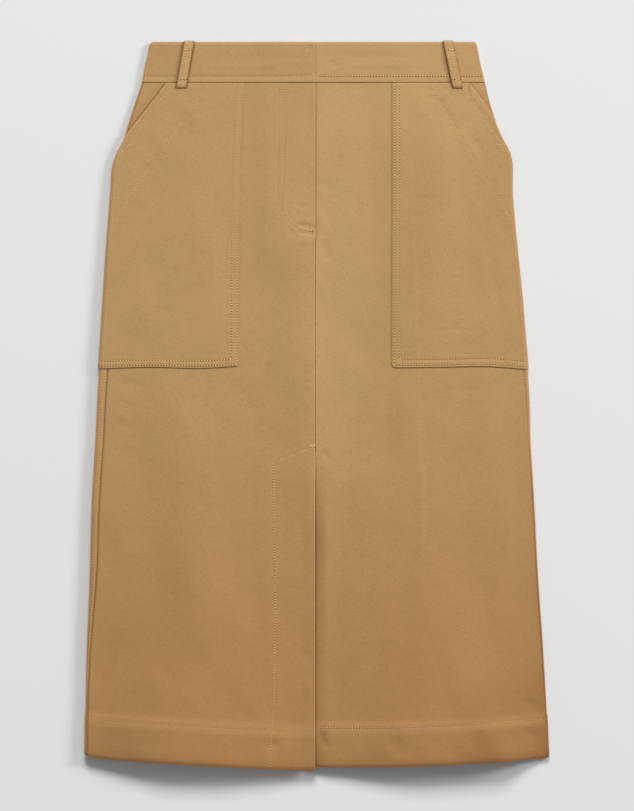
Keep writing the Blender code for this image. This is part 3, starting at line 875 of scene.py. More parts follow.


# Broad darkening of each half: its depth and the reach at which it sets in, then the painted light on the
# side fold, painted shade where below 0, and the angle in radians before the fold's top from which that
# sets in
LEFT_TONE, RIGHT_TONE = (0.13, -34, 0.2, 0.3), (0.14, 36, -0.34, 0.6)
TONE_RUN, FOLD_TONE_END = 50, 0.6  # length over which it sets in, and where the fold's painted light and shade is full
# On the right alone: strength, and between which distances down each sets in, for the broad darkening, the
# painted shade low on the fold and the painted shade of the hem's corner
RIGHT_TONE_IN = (60, 140)
LOW_FOLD_DARK, LOW_FOLD_IN = 0.2, (540, 660)
CORNER_DARK, CORNER_IN, CORNER_ACROSS = 0.28, (670, 730), (140, 200)
# and the painted shadow line near the edge: radians round the fold, strength, width, and where it sets in
# and ends
RIM_TURNED, RIM_DARK, RIM_IN, RIM_OUT = 0.85, (0.8, 0.28), (430, 490), (770, 740)


def tone(side, across, down):
    """Sides a little darker than the centre, and painted light and shade on the side folds; on the right
    also painted shade low on the fold, at the hem's corner and in a line near the edge.
    """
    deep, start, on_fold, before = LEFT_TONE if side.left else RIGHT_TONE
    reach = side.sign * across
    turned = side.turned(reach, down)
    fold = ease((turned + before) / (before + FOLD_TONE_END))
    corner = rim = 0.0
    if not side.left:
        deep = deep * setting_in(down, *RIGHT_TONE_IN)
        on_fold = on_fold - LOW_FOLD_DARK * setting_in(down, *LOW_FOLD_IN)
        corner = CORNER_DARK * setting_in(down, *CORNER_IN) * setting_in(reach, *CORNER_ACROSS)
        rim = line(turned - RIM_TURNED, *RIM_DARK) * setting_in(down, *RIM_IN) * setting_in(down, *RIM_OUT)
    return on_fold * fold - (deep * ease((reach - start) / TONE_RUN) + corner) * (1 - fold) - rim


# A front's columns near the centre, as stops and steps. The others are set by the pocket's edge.
NEAR_END, BESIDE_POCKET = 66.0, 3.5
LEFT_NEAR = (SEAM_GAP / 2, 0.6, 2.6, 1.7, NEAR_END)
RIGHT_NEAR = (-UNDERLAP, 5, -6, 1.5, SEAM_GAP / 2, 0.6, 2.6, 1.9, NEAR_END)
# Depth and width to which edges turn down
TOP_DIP, HEM_DIP, BACK_TOP_DIP = (0.15, 1.6), (0.9, 4), (0.4, 2.4)
SEAM_DIP_WIDTH, CENTRE_DIP_WIDTH = 2.6, 1.5
OPEN_DIP, CLOSED_DIP = 0.8, 0.35
# Painted shade lines round a pocket and its mouth, along the seams and under the band, and a dip round the
# pocket: strength (depth for the dip), width
PRESSED_DIP, PRESSED_WIDTH = (0.15, 1), 0.8
MOUTH_LINE, MOUTH_SHADE, BACK_MOUTH_LINE = (0.7, 1.1), (0.16, 9), (0.7, 1)
SEAM_LINE_WIDTH, TOP_LINE = 0.9, (0.15, 0.9)
# Painted shade along the centre line: distance down, strength. Next its width on each front and share on
# the left.
CENTRE_DARK = ((44, 0.2), (205, 0.2), (228, 0), (438, 0), (456, 0.25), (510, 0.9), (801, 0.9))
CENTRE_LEFT_WIDTH, CENTRE_LEFT_SHARE, CENTRE_RIGHT_WIDTH = 0.6, 0.6, 0.9
# painted shade beside the fly and the vent on the right front: strength, width
FLY_SHADE, VENT_SHADE = (0.14, 3.2), (0.13, 4.5)
HEM_HIGHLIGHT, HEM_HIGHLIGHT_BELOW = (0.45, 4.2), 2.6  # painted highlight: a light band below the hem's row


def front_columns(side, row):
    """Reach of a front's columns of points, closest at its edges and at the pocket's."""
    near = spaced(LEFT_NEAR if side.left else RIGHT_NEAR)
    to_seam = side.front_end(row)
    stop = np.minimum(side.flat(row), to_seam - 4)
    before = side.pocket(row) - BESIDE_POCKET
    beside = spaced((0, 0.7, 5.6))[1:]
    columns = [
        near + 0 * row,
        mix(NEAR_END, before, np.linspace(0, 1, 7)[1:]),
        before + beside,
        mix(side.pocket(row) + beside[-1] - BESIDE_POCKET, stop, np.linspace(0, 1, 58)[1:]),
        mix(stop, to_seam, np.array([0.3, 0.55, 0.75, 0.88, 0.96, 1])),
    ]
    return np.concatenate(columns, axis=1)


def front_height(side, across, down, row):
    """Height of a front's points off the skin."""
    reach, to_seam = side.sign * across, side.front_end(row)
    height = cloth_relief(across, down) + sewn(front_rows(side), across, down, FRONT_SEED)
    height = height + edge_dip(down - PANEL_TOP, *TOP_DIP)
    height = height + edge_dip(reach - to_seam, side.seam_dip, SEAM_DIP_WIDTH)
    height = height + edge_dip(row - LENGTH, *HEM_DIP) + hem_step(row)
    pressed = off_pocket(side, across, down)
    height = height - line(pressed, *PRESSED_DIP) * (pressed > 0)
    if not side.left:
        height = height + right_dip(across, down)
        return height + edge_dip(across, CLOSED_DIP, CENTRE_DIP_WIDTH) * (across > 0)
    centre_dip = np.where((row < FLY_END) | (row > VENT_TOP), OPEN_DIP, CLOSED_DIP)
    return height + left_lap(across, down) + edge_dip(across, centre_dip, CENTRE_DIP_WIDTH)


def front_shade(side, across, down, row):
    """Painted light and shade of a front's points: above 0 lighter than the plain cloth, and below 0
    darker.
    """
    dark = line(side.sign * across - side.front_end(row), side.seam_dark, SEAM_LINE_WIDTH)
    dark = dark + line(down - PANEL_TOP, *TOP_LINE)
    pressed = off_pocket(side, across, down)
    dark = dark + line(pressed, side.pocket_dark, PRESSED_WIDTH) * (pressed > 0)
    dark = dark + loop_dark(CENTRE_X + across, down)
    off = off_mouth(side, across, down)
    dark = dark + line(off, *MOUTH_LINE) + line(off, *MOUTH_SHADE) + hem_dark(row)
    centre = along(CENTRE_DARK, 1, down)
    if side.left:
        centre = line(across, CENTRE_LEFT_SHARE * centre, CENTRE_LEFT_WIDTH)
        dark = dark + centre * (row < VENT_TOP + 20)
    else:
        gap = np.maximum(across, 0)
        dark = dark + line(gap, centre, CENTRE_RIGHT_WIDTH) + line(gap, *FLY_SHADE) * (row < FLY_END)
        dark = dark + line(gap, *VENT_SHADE) * along(VENT_DIP, 1, down)
    # painted highlight below the hem's row, where the raised hem catches light
    hem_highlight = line(row - HEM_ROW - HEM_HIGHLIGHT_BELOW, *HEM_HIGHLIGHT)
    return hem_highlight + tone(side, across, down) - np.minimum(dark, 1)


def front_panel(side, name):
    """Half of the front, from the centre line to its side seam. The right one reaches under the left."""
    row = PANEL_ROWS[:, None]
    across = side.sign * front_columns(side, row)
    down = at_hem(side.hem, across, row)
    in_hem = np.broadcast_to(row > LENGTH - HEM_DEPTH, across.shape)
    on_facing = side.left & (row > VENT_TOP) & (np.abs(across) < FACING)
    # between the fly and the vent the seam is closed, and the right front ends there
    middle = (PANEL_ROWS[:-1] + PANEL_ROWS[1:]) / 2
    closed = (middle > FLY_END) & (middle < VENT_TOP + 5)
    hidden = int(np.sum(side.sign * across[0] < 0))
    keep = np.ones((len(PANEL_ROWS) - 1, across.shape[1] - 1), bool)
    keep[closed, :hidden] = False
    height = front_height(side, across, down, row)
    shade = front_shade(side, across, down, row)
    return shell(name, across, down, height, shade, CLOTH, in_hem | on_facing, keep)


UNDER_FADE = 1.5  # radians past the fold over which the underside's own relief sets in


def round_back(first, second):
    """Tables of two halves, each joined at the middle of the underside."""
    return [np.concatenate([a, b[:, -2::-1]], axis=1) for a, b in zip(first, second)]


def back_half(side, row):
    """Half of the back, from its side seam round the fold to the middle of the underside."""
    start, foot = side.seam(row) + SEAM_GAP / 2, side.past_fold(row, 180)
    turn = mix(start, foot, np.concatenate([[0, 0.02, 0.05], np.linspace(0.09, 1, 22)]))
    under = mix(foot, side.under_middle(row), np.linspace(0, 1, 40)[1:])
    across = side.sign * np.concatenate([turn, under], axis=1)
    down = at_hem(BACK_HEM, across, row)
    reach = np.abs(across)
    below = ease((side.turned(reach, down) - math.pi) / UNDER_FADE)
    relief = (1 - below) * cloth_relief(across, down)
    relief = relief - below * folds(BACK_CREASES, skin(across, down)[..., 0], down, CREASE_FADE)
    height = relief + sewn(back_rows(), across, down, BACK_SEED)
    height = height + edge_dip(down - PANEL_TOP, *BACK_TOP_DIP) + edge_dip(row - LENGTH, *HEM_DIP)
    height = height + edge_dip(reach - start, side.seam_dip, SEAM_DIP_WIDTH) + (1 - below) * hem_step(row)
    # painted light and shade: broad darkening and fold light, and painted shade at the seam, the hem and
    # outside the pocket's mouth
    shade = tone(side, across, down) - line(reach - start, side.seam_dark, SEAM_LINE_WIDTH) - hem_dark(row)
    shade = shade - line(off_mouth(side, across, down), *BACK_MOUTH_LINE)
    return across, down, height, shade


def back_panel():
    """The whole back: flat on the surface, and round both side folds to the side seams on top."""
    row = PANEL_ROWS[:, None]
    across, down, height, shade = round_back(back_half(LEFT, row), back_half(RIGHT, row))
    in_hem = np.broadcast_to(row > LENGTH - HEM_DEPTH, across.shape)
    return shell("back_panel_cloth", across, down, height, shade, CLOTH, in_hem)


# A pocket's inner bottom corner is round: its radius, and the share of that across. Its edges are pressed
# down over a width, and turn down: depth, width
CORNER_ROUND, CORNER_SHARE = 3.0, 0.8
PRESS_WIDTH = 3
INNER_DIP, BOTTOM_DIP, MOUTH_DIP, FAR_DIP = (0.2, 1.2), (0.15, 1.2), (0.35, 2.2), (0.5, 1.7)
# Painted highlights along its bottom and, on the left, its mouth: distance from the edge, strength, width
BOTTOM_RIM, BOTTOM_SECOND_RIM, LEFT_MOUTH_RIM = (0.8, (1.2, 1.1)), (5.6, (0.6, 1.6)), (2, (1, 1.6))
RIM_SHARE = 0.4
# On the right a painted highlight band lies along the mouth: strength, where it ends, over which length
RIGHT_MOUTH_BAND = (1.2, 15, 4)
LEFT_MOUTH_DARK, RIGHT_MOUTH_DARK = (0, 1.8), (0.9, 1.8)  # painted shade at the mouth: strength, width
# widths of the painted shade lines along the inner edge and the bottom
INNER_LINE_WIDTH, BOTTOM_LINE_WIDTH = 0.6, 0.5


def pocket_highlights(side, at_mouth, off_top, to_bottom):
    """Painted highlights along a pocket's edges."""
    rim = 0
    for off, look in (BOTTOM_RIM, BOTTOM_SECOND_RIM):
        rim = rim + line(to_bottom - off, *look)
    if side.left:
        off, look = LEFT_MOUTH_RIM
        return rim + at_mouth * line(off_top - off, *look)
    strength, end, fade = RIGHT_MOUTH_BAND
    return rim + strength * at_mouth * ease((end - off_top) / fade)


def pocket(side, name):
    """Patch pocket on the panels, from its inner edge round the side fold, with its edges pressed down."""
    share = spaced((0, 0.004, 0.016, 0.0055, 0.08, 0.0115, side.mouth[0][0], 0.0105, 1))
    angle = spaced((0, 7, POCKET_REACH - 8, 3, POCKET_REACH))[1:]
    shares = np.append(share, np.ones(len(angle)))
    angles = np.append(np.zeros(len(share)), angle)
    top = side.pocket_top(shares, angles)
    bottom = along(side.bottom, 1, shares)
    down = mix(top, bottom, spaced((0, 0.003, 0.03, 0.0052, 0.955, 0.0026, 1))[:, None])
    to_bottom, off_top = bottom - down, down - top
    into_corner = np.clip(CORNER_ROUND - to_bottom, 0, CORNER_ROUND)
    rounded = CORNER_ROUND - np.sqrt(np.maximum(CORNER_ROUND**2 - into_corner**2, 0))
    inner = side.pocket(down) + rounded * CORNER_SHARE
    reach = mix(inner, side.flat(down), shares) + np.radians(angles) * side.fold_height(down) / 2
    across = side.sign * reach
    at_mouth = (shares >= side.mouth[0][0]) | (angles > 0)
    stand = at_mouth * MOUTH_STAND * ease(1 - off_top / MOUTH_WIDTH)
    height = CLOTH + POCKET_GAP + stand + cloth_relief(across, down)
    height = height + sewn(pocket_rows(side), across, down, POCKET_SEED)
    height = height - POCKET_GAP * (line(reach - inner, 1, PRESS_WIDTH) + line(to_bottom, 1, PRESS_WIDTH))
    height = height + edge_dip(reach - inner, *INNER_DIP) + edge_dip(to_bottom, *BOTTOM_DIP)
    height = height + edge_dip(off_top, *MOUTH_DIP)
    height = height + edge_dip(reach - side.past_fold(down, POCKET_REACH), *FAR_DIP)
    # painted shade at the mouth, the edges and beside the loops, and painted highlights along the edges
    mouth_dark = LEFT_MOUTH_DARK if side.left else RIGHT_MOUTH_DARK
    dark = np.where(at_mouth, line(off_top, *mouth_dark), line(off_top, *TOP_LINE))
    dark = dark + loop_dark(CENTRE_X + across, down)
    edges = line(reach - inner, 1, INNER_LINE_WIDTH) + line(to_bottom, 1, BOTTOM_LINE_WIDTH)
    dark = dark + side.pocket_dark * edges
    rim = RIM_SHARE * pocket_highlights(side, at_mouth, off_top, to_bottom)
    shade = rim + tone(side, across, down) - np.minimum(dark, 1)
    return shell(name, across, down, height, shade, CLOTH)


BAND_ROWS = (BAND_TOP, 0.7, 2.8, 1.5, 34, 1, 41, 0.7, BAND_DEPTH)
# The left end rises over the right one: the reach where this starts and where it is full, and its height
BAND_LAP_END, BAND_LAP_FULL, BAND_LAP_LIFT = 70.0, 38.0, 1.5
BAND_UNDER_DIP, BAND_UNDER_RUN = 1.0, 6  # the right end dips under it: depth, length
BAND_FADE = 0.3
BAND_SWAY = (12, 14, 60, 0.13)  # seed, shortest wave, longest wave, height
# Its ends, foot and top turn down: depth, width. Painted shade lines at its foot and centre: strength,
# width
END_DIP, BAND_FOOT_DIP, BAND_TOP_DIP = (0.4, 1.6), (0.3, 1.4), (0.5, 2.6)
BAND_FOOT_LINE, BAND_CENTRE_LINE = (0.2, 0.8), (0.4, 0.9)
BAND_LEFT_DARK, BAND_LEFT_IN = 0.1, (140, 150)  # painted shade darkens the left end of the band towards its top
# Painted highlights near its top and its foot: distance down, strength, width
BAND_HIGHLIGHTS = ((1.4, (0.25, 1.2)), (41.4, (0.32, 2.4)))


def band_half(side, row):
    """Half of the waistband, from its end at the centre to the middle of the underside."""
    start = SEAM_GAP / 2 if side.left else -BAND_UNDERLAP
    flat, foot = side.flat(row), side.past_fold(row, 180)
    columns = [
        mix(start, start + 4, spaced((0, 0.25, 1))) + 0 * row,
        mix(start + 4, flat, np.linspace(0, 1, 140)[1:]),
        mix(flat, foot, np.linspace(0, 1, 13)[1:]),
        mix(foot, side.under_middle(row), np.linspace(0, 1, 30)[1:]),
    ]
    reach = np.concatenate(columns, axis=1)
    across = side.sign * reach
    upper = 1 - ease(side.turned(reach, row) / math.pi)
    height = BAND_PROUD * upper
    if side.left:
        height = height + BAND_LAP_LIFT * ease((BAND_LAP_END - reach) / (BAND_LAP_END - BAND_LAP_FULL))
        height = height + edge_dip(reach - start, *END_DIP)
    else:
        height = height - BAND_UNDER_DIP * ease(-reach / BAND_UNDER_RUN)
    height = height + upper * folds(BAND_CREASES, CENTRE_X + across, row, BAND_FADE)
    height = height + upper * sway(across, row, *BAND_SWAY) + sewn(band_rows(), across, row, BAND_SEED)
    height = height + edge_dip(row - BAND_DEPTH, *BAND_FOOT_DIP) + edge_dip(row - BAND_TOP, *BAND_TOP_DIP)
    # painted shade at the foot, beside the loops, at the left end and along the centre
    dark = line(row - BAND_DEPTH, *BAND_FOOT_LINE) + upper * loop_dark(CENTRE_X + across, row)
    at_left = setting_in(-across, *BAND_LEFT_IN)
    dark = dark + BAND_LEFT_DARK * at_left * upper * (1 - row / BAND_DEPTH)
    if not side.left:
        dark = dark + line(np.maximum(across, 0), *BAND_CENTRE_LINE)
    shade = tone(side, across, row) - np.minimum(dark, 1)
    # painted highlights along the band's top and foot
    for level, look in BAND_HIGHLIGHTS:
        shade = shade + line(row - level, *look)
    return across, row + 0 * across, height, shade


def waistband():
    """One doubled strip: from its hidden end under the left front, round the back, to its end on top."""
    row = spaced(BAND_ROWS)[:, None]
    across, down, height, shade = round_back(band_half(RIGHT, row), band_half(LEFT, row))
    return shell("waistband_cloth", across, down, height, shade, BAND_WALL)


LOOP_SQUEEZE = 0.42  # share of the arch's height that the strap has above the band
LOOP_ROW = -1.9  # the left loop's row of stitches, from the strap's middle
LOOP_TACKS = (8.5, 41.0)  # distances down of the two rows across
# Its sides and ends turn down, and its row lies in a trough: depth, width
LOOP_SIDE_DIP, LOOP_END_DIP, LOOP_ROW_DIP = (0.5, 1.6), (0.8, 2.4), (0.3, 0.8)
LOOP_SWAY, LOOP_SEED = (7, 22, 0.1), 70
# Ridge along it: height, half width, and how far it moves towards the row, as a share
LOOP_RIDGE, LOOP_RIDGE_WIDTH, LOOP_RIDGE_SHARE = 0.25, 3, 0.2
LOOP_LIGHT, LOOP_EDGE_LINE = 0.15, (1, 1.2)  # lightening of the strap, and painted shade along its sides: strength, width


def loop_rows(ends, row_at):
    """A belt loop's stitch row along it and its two rows across, as places on the skin below it."""
    down = np.linspace(LOOP_TOP + 3, LOOP_END - 3, 90)
    rows = [path(loop_middle(ends, down) - CENTRE_X + row_at, down)]
    for level in LOOP_TACKS:
        middle = loop_middle(ends, level) - CENTRE_X
        rows.append(path(middle + np.linspace(-0.5, 0.5, 30) * (LOOP_WIDTH - 2), level))
    return rows


def belt_loop(ends, name, row_at):
    """Strap folded in three, with a row of stitches along it and folded ends."""

    def place(across, down, height):
        """Points from places across the strap from its middle, and down."""
        middle = loop_middle(ends, down)
        arch = along(LOOP_ARCH, 1, down) * LOOP_SQUEEZE
        z = top_height(middle, down) + BAND_PROUD + arch + LOOP_WALL + height
        return np.stack([middle + across, ORIGIN_DOWN - down, z], axis=-1)

    edge = LOOP_WIDTH / 2
    columns = spaced((-edge, 0.5, -edge + 1.5, 0.8, edge - 1.5, 0.5, edge))
    rows = spaced((LOOP_TOP, 0.6, LOOP_TOP + 3, 1, LOOP_END - 4, 0.6, LOOP_END))
    across, down = np.meshgrid(columns, rows)
    seed = LOOP_SEED + int(math.copysign(1, ends[0]))
    height = edge_dip(np.abs(across) - edge, *LOOP_SIDE_DIP) + edge_dip(down - LOOP_END, *LOOP_END_DIP)
    height = height + edge_dip(down - LOOP_TOP, *LOOP_END_DIP) - line(across - row_at, *LOOP_ROW_DIP)
    height = height + sway(across * 2, down, seed, *LOOP_SWAY)
    off_ridge = np.abs(across - row_at * LOOP_RIDGE_SHARE)
    height = height + LOOP_RIDGE * ease(1 - off_ridge / LOOP_RIDGE_WIDTH)
    shade = LOOP_LIGHT - line(np.abs(across) - edge, *LOOP_EDGE_LINE)
    return shell(name, across, down, height, shade, LOOP_WALL, place=place)


PITCH = 3.1
STITCH_LENGTH, STITCH_WIDTH, STITCH_HEIGHT = 1.75, 1.15, 0.8
STITCH_RINGS, STITCH_SIDES = (-0.62, 0, 0.62), 6
# At its ends a stitch is thinner by a share, and lower, as shares of half its height
END_FULL, END_DROP, TIP_DROP = 0.82, 0.25, 0.35
HOLE_LENGTH, HOLE_WIDTH, HOLE_HEIGHT = 1.5, 1.1, 0.2
# Needle holes are smaller by a share where a row runs slantwise over the weave, and larger on level rows
ON_BIAS, ON_LEVEL = 0.62, 0.3
LEVEL_FROM, LEVEL_RUN = 0.965, 0.03
BIAS_THIN = 0.25  # share by which a slantwise stitch is thinner
SEAT = 0.22  # share of a stitch's height at which its middle lies above the cloth
# Unevenness of stitches: of their lengths and widths as shares, their direction, and their place aside
LENGTH_SPREAD, WIDTH_SPREAD, TILT, ASIDE = (0.9, 1.06), (0.92, 1.08), 0.05, 0.06
REACH_ABOVE = 12.0  # a stitch is let down on the cloth from this height
THREAD_LOWEST = 0.02  # height above the surface, below which no thread reaches


def stitch_form():
    """One stitch as a small rounded bar along x, on a unit length, width and height."""
    points = [(-1, 0, -TIP_DROP)]
    for ring in STITCH_RINGS:
        full = 1.0 if ring == 0 else END_FULL
        for k in range(STITCH_SIDES):
            turn = 2 * math.pi * k / STITCH_SIDES
            points.append((ring, full * math.cos(turn), full * math.sin(turn) - END_DROP * (ring != 0)))
    points.append((1, 0, -TIP_DROP))
    faces = []
    last = len(points) - 1
    for k in range(STITCH_SIDES):
        after = (k + 1) % STITCH_SIDES
        faces.append((0, 1 + after, 1 + k))
        for ring in range(len(STITCH_RINGS) - 1):
            a, b = 1 + ring * STITCH_SIDES, 1 + (ring + 1) * STITCH_SIDES
            faces.append((a + k, a + after, b + after))
            faces.append((a + k, b + after, b + k))
        top = 1 + (len(STITCH_RINGS) - 1) * STITCH_SIDES
        faces.append((top + k, top + after, last))
    return np.array(points), np.array(faces)


def seated(tree, row):
    """Points of a row of places let down on a piece, and the skin's normals. Places off it drop out."""
    normals = outward(row[:, 0], row[:, 1])
    starts = skin(row[:, 0], row[:, 1]) + normals * REACH_ABOVE
    points, found = [], []
    for start, normal in zip(starts, normals):
        hit = tree.ray_cast(Vector(start * MM), Vector(-normal), 2 * REACH_ABOVE * MM)[0]
        found.append(hit is not None)
        if hit is not None:
            points.append(hit / MM)
    return np.array(points).reshape(-1, 3), normals[np.array(found)]


def between(table, at, run):
    """Rows of a table at distances along it, where run is the distance of each of its own rows."""
    return np.stack([np.interp(at, run, table[:, i]) for i in range(3)], axis=1)


def unit(vectors):
    return vectors / np.linalg.norm(vectors, axis=1, keepdims=True)


def stitches(piece, rows, seed, pitch=PITCH, length=STITCH_LENGTH, mean_run=0.8):
    """Bars of thread along rows on a piece, and dark spots of painted shadow for the needle holes between
    them.
    """
    form, faces = stitch_form()
    draw = np.random.default_rng(seed)
    polygons = [tuple(polygon.vertices) for polygon in piece.data.polygons]
    tree = BVHTree.FromPolygons([vertex.co for vertex in piece.data.vertices], polygons)
    bars, holes = [], []
    for row in rows:
        points, normals = seated(tree, row)
        if len(points) < 2:
            continue
        run = distances(points)
        at = (np.arange(max(1, int(run[-1] / pitch))) + 0.5) * pitch
        centre, normal = between(points, at, run), between(normals, at, run)
        tangent = unit(between(points, at + mean_run, run) - between(points, at - mean_run, run))
        aside = unit(np.cross(normal, tangent))
        upward = np.cross(tangent, aside)
        end = between(points, at + pitch / 2, run)
        for i in range(len(at)):
            bias = min(1.0, 3 * abs(tangent[i][0] * tangent[i][1]))
            level = ease((abs(tangent[i][0]) - LEVEL_FROM) / LEVEL_RUN)
            along_it = tangent[i] + aside[i] * draw.normal(0.0, TILT)
            long = length / 2 * draw.uniform(*LENGTH_SPREAD)
            wide = STITCH_WIDTH / 2 * draw.uniform(*WIDTH_SPREAD) * (1 - BIAS_THIN * bias)
            spot = centre[i] + upward[i] * STITCH_HEIGHT * SEAT + aside[i] * draw.normal(0.0, ASIDE)
            bar = spot + form[:, :1] * long * along_it + form[:, 1:2] * wide * aside[i]
            bars.append(bar + form[:, 2:3] * STITCH_HEIGHT / 2 * upward[i])
            opened = 0.5 * (1 - ON_BIAS * bias + ON_LEVEL * level)
            hole = end[i] + opened * form[:, :1] * HOLE_LENGTH * tangent[i]
            hole = hole + opened * form[:, 1:2] * HOLE_WIDTH * aside[i]
            holes.append(hole + form[:, 2:3] * HOLE_HEIGHT / 2 * upward[i])
    return bars, holes, faces


def joined(name, forms, faces):
    """One piece of many small closed forms, all of them with the same faces."""
    count = len(forms[0])
    points = np.concatenate(forms)
    points[:, 2] = np.maximum(points[:, 2], THREAD_LOWEST)
    all_faces = (faces[None] + np.arange(len(forms))[:, None, None] * count).reshape(-1, 3)
    return new_piece(name, points, all_faces)


class Wiring:
    """A new material and its nodes. An input is given a value, or the output that feeds it."""

    def __init__(self, name, looks):
        self.material = bpy.data.materials.new(name)
        self.material.use_nodes = True
        self.nodes, self.links = self.material.node_tree.nodes, self.material.node_tree.links
        self.shader = self.nodes["Principled BSDF"]
        self.set(self.shader, looks)

    def set(self, node, inputs):
        for name, value in inputs.items():
            if isinstance(value, bpy.types.NodeSocket):
                self.links.new(value, node.inputs[name])
            else:
                node.inputs[name].default_value = value

    def add(self, kind, output, inputs, **settings):
        """One of the outputs of a new node."""
        node = self.nodes.new("ShaderNode" + kind)
        for name, value in settings.items():
            setattr(node, name, value)
        self.set(node, inputs)
        return node.outputs[output]

    def place(self):
        return self.add("TexCoord", "Object", {})

    def noise(self, place, scale):
        """Noise stretched by a scale for each axis, in waves a metre."""
        stretched = self.add("Mapping", "Vector", {"Vector": place, "Scale": scale})
        inputs = {"Vector": stretched, "Scale": 1, "Detail": 2, "Roughness": 0.55}
        return self.add("TexNoise", "Fac", inputs)

    def math(self, operation, *values, **settings):
        return self.add("Math", 0, dict(enumerate(values)), operation=operation, **settings)

    def weighted(self, parts):
        """Sum of (output - middle) * weight."""
        total = None
        for output, weight, middle in parts:
            scaled = self.math("MULTIPLY_ADD", output, weight, -middle * weight)
            total = scaled if total is None else self.math("ADD", total, scaled)
        return total

    def blend(self, factor, a, b):
        """Colour between a and b."""
        return self.add("Mix", "Result", {"Factor": factor, "A": a, "B": b}, data_type="RGBA")

    def bump(self, height, strength, depth):
        inputs = {"Height": height, "Strength": strength, "Distance": depth * MM}
        self.set(self.shader, {"Normal": self.add("Bump", "Normal", inputs)})


def opaque(colour, factor=1.0):
    return tuple(part * factor for part in colour) + (1.0,)


TWILL_LOOKS = {"Roughness": 0.88, "Specular IOR Level": 0.22, "Sheen Weight": 0.45, "Sheen Roughness": 0.4}
TWILL_TOP = (0.516, 0.310, 0.131)
# the hem colour is the top colour darkened by painted shade, standing in for less light lower down
TWILL_HEM_SHADED = (0.440, 0.238, 0.0885)
HEM_SHADE_FROM, HEM_SHADE_TO = 280, 740  # distances down between which painted shade darkens the colour from top to hem
TWILL_PAINTED_SHADE = (0.235, 0.088, 0.026)  # colour of painted shade in seams, creases and contact shadows, where light comes off cloth alone
DEEPENING = 0.85  # share of that colour at full painted shade
TWILL_LINE, TWILL_SLANT = 0.85, 58  # distance between the weave's diagonal lines, and their angle
LINE_LOOKS = {"Distortion": 1.6, "Detail": 1, "Detail Scale": 0.25}
# Unevenness of the cloth in waves a metre, and its weights in the colour and in the relief
SLUBS, WARPS, GRAIN, MOTTLE = (230, 1100, 300), (1000, 260, 300), (1000, 1000, 1000), (22, 16, 22)
COLOUR_WEIGHTS, LINE_WEIGHT, LIGHT_WEIGHT = (0.32, 0.14, 0.42, 0.08), 0.08, 0.16
RELIEF_WEIGHTS, LINE_RELIEF = (0.7, 0.5, 1), 0.5
TWILL_BUMP = (0.4, 0.22)  # strength, depth


def twill_lines(wiring, place):
    """Diagonal lines of the weave."""
    turn = (0, 0, math.radians(TWILL_SLANT))
    turned = wiring.add("Mapping", "Vector", {"Vector": place, "Rotation": turn})
    inputs = {"Vector": turned, "Scale": math.pi / 10 / (TWILL_LINE * MM)} | LINE_LOOKS
    return wiring.add("TexWave", "Fac", inputs, wave_type="BANDS", bands_direction="X")


def twill_base(wiring, place):
    """The cloth's plain colour, with painted shade that darkens it towards the hem."""
    down = wiring.add("SeparateXYZ", "Y", {"Vector": place})
    inputs = {
        "Value": down,
        "From Min": (ORIGIN_DOWN - HEM_SHADE_FROM) * MM,
        "From Max": (ORIGIN_DOWN - HEM_SHADE_TO) * MM,
    }
    depth = wiring.add("MapRange", "Result", inputs, interpolation_type="SMOOTHSTEP")
    return wiring.blend(depth, opaque(TWILL_TOP), opaque(TWILL_HEM_SHADED))


def twill(name):
    """Cotton twill: diagonal lines, slubs along and across, soft mottling, and the painted light and shade
    that each piece carries.
    """
    wiring = Wiring(name, TWILL_LOOKS)
    place = wiring.place()
    slubs, warps, grain, mottle = [wiring.noise(place, scale) for scale in (SLUBS, WARPS, GRAIN, MOTTLE)]
    lines = twill_lines(wiring, place)
    shade = wiring.add("Attribute", "Fac", {}, attribute_name="shade")
    # the shade attribute: painted light above 0 lightens the colour, painted shade below 0 mixes in the
    # shade colour
    lighter = wiring.math("MAXIMUM", shade, 0)
    deeper = wiring.math("MULTIPLY", shade, -DEEPENING, use_clamp=True)
    parts = [(part, weight, 0.5) for part, weight in zip((slubs, warps, grain, mottle), COLOUR_WEIGHTS)]
    amount = wiring.weighted(parts + [(lines, LINE_WEIGHT, 0.5), (lighter, LIGHT_WEIGHT, 0)])
    value = wiring.math("ADD", amount, 1)
    bright = wiring.add("HueSaturation", "Color", {"Color": twill_base(wiring, place), "Value": value})
    wiring.set(wiring.shader, {"Base Color": wiring.blend(deeper, bright, opaque(TWILL_PAINTED_SHADE))})
    parts = [(part, weight, 0.5) for part, weight in zip((slubs, warps, grain), RELIEF_WEIGHTS)]
    wiring.bump(wiring.weighted(parts + [(lines, LINE_RELIEF, 0.5)]), *TWILL_BUMP)
    return wiring.material


THREAD_COLOUR, THREAD_DULL, THREAD_BRIGHT, THREAD_GRAIN = (0.82, 0.54, 0.265), 0.88, 1.12, 900
THREAD_BUMP = (0.5, 0.1)


def thread():
    """Matt sewing thread, a little lighter than the cloth."""
    wiring = Wiring("thread", {"Roughness": 0.62, "Specular IOR Level": 0.35})
    uneven = wiring.noise(wiring.place(), (THREAD_GRAIN,) * 3)
    dull, bright = opaque(THREAD_COLOUR, THREAD_DULL), opaque(THREAD_COLOUR, THREAD_BRIGHT)
    wiring.set(wiring.shader, {"Base Color": wiring.blend(uneven, dull, bright)})
    wiring.bump(uneven, *THREAD_BUMP)
    return wiring.material


# needle holes are dark spots laid on the cloth: painted shadow of their pits
HOLE_SHADE_COLOUR, HOLE_BRIGHT, HOLE_GRAIN = (0.14, 0.056, 0.018), 1.5, 400


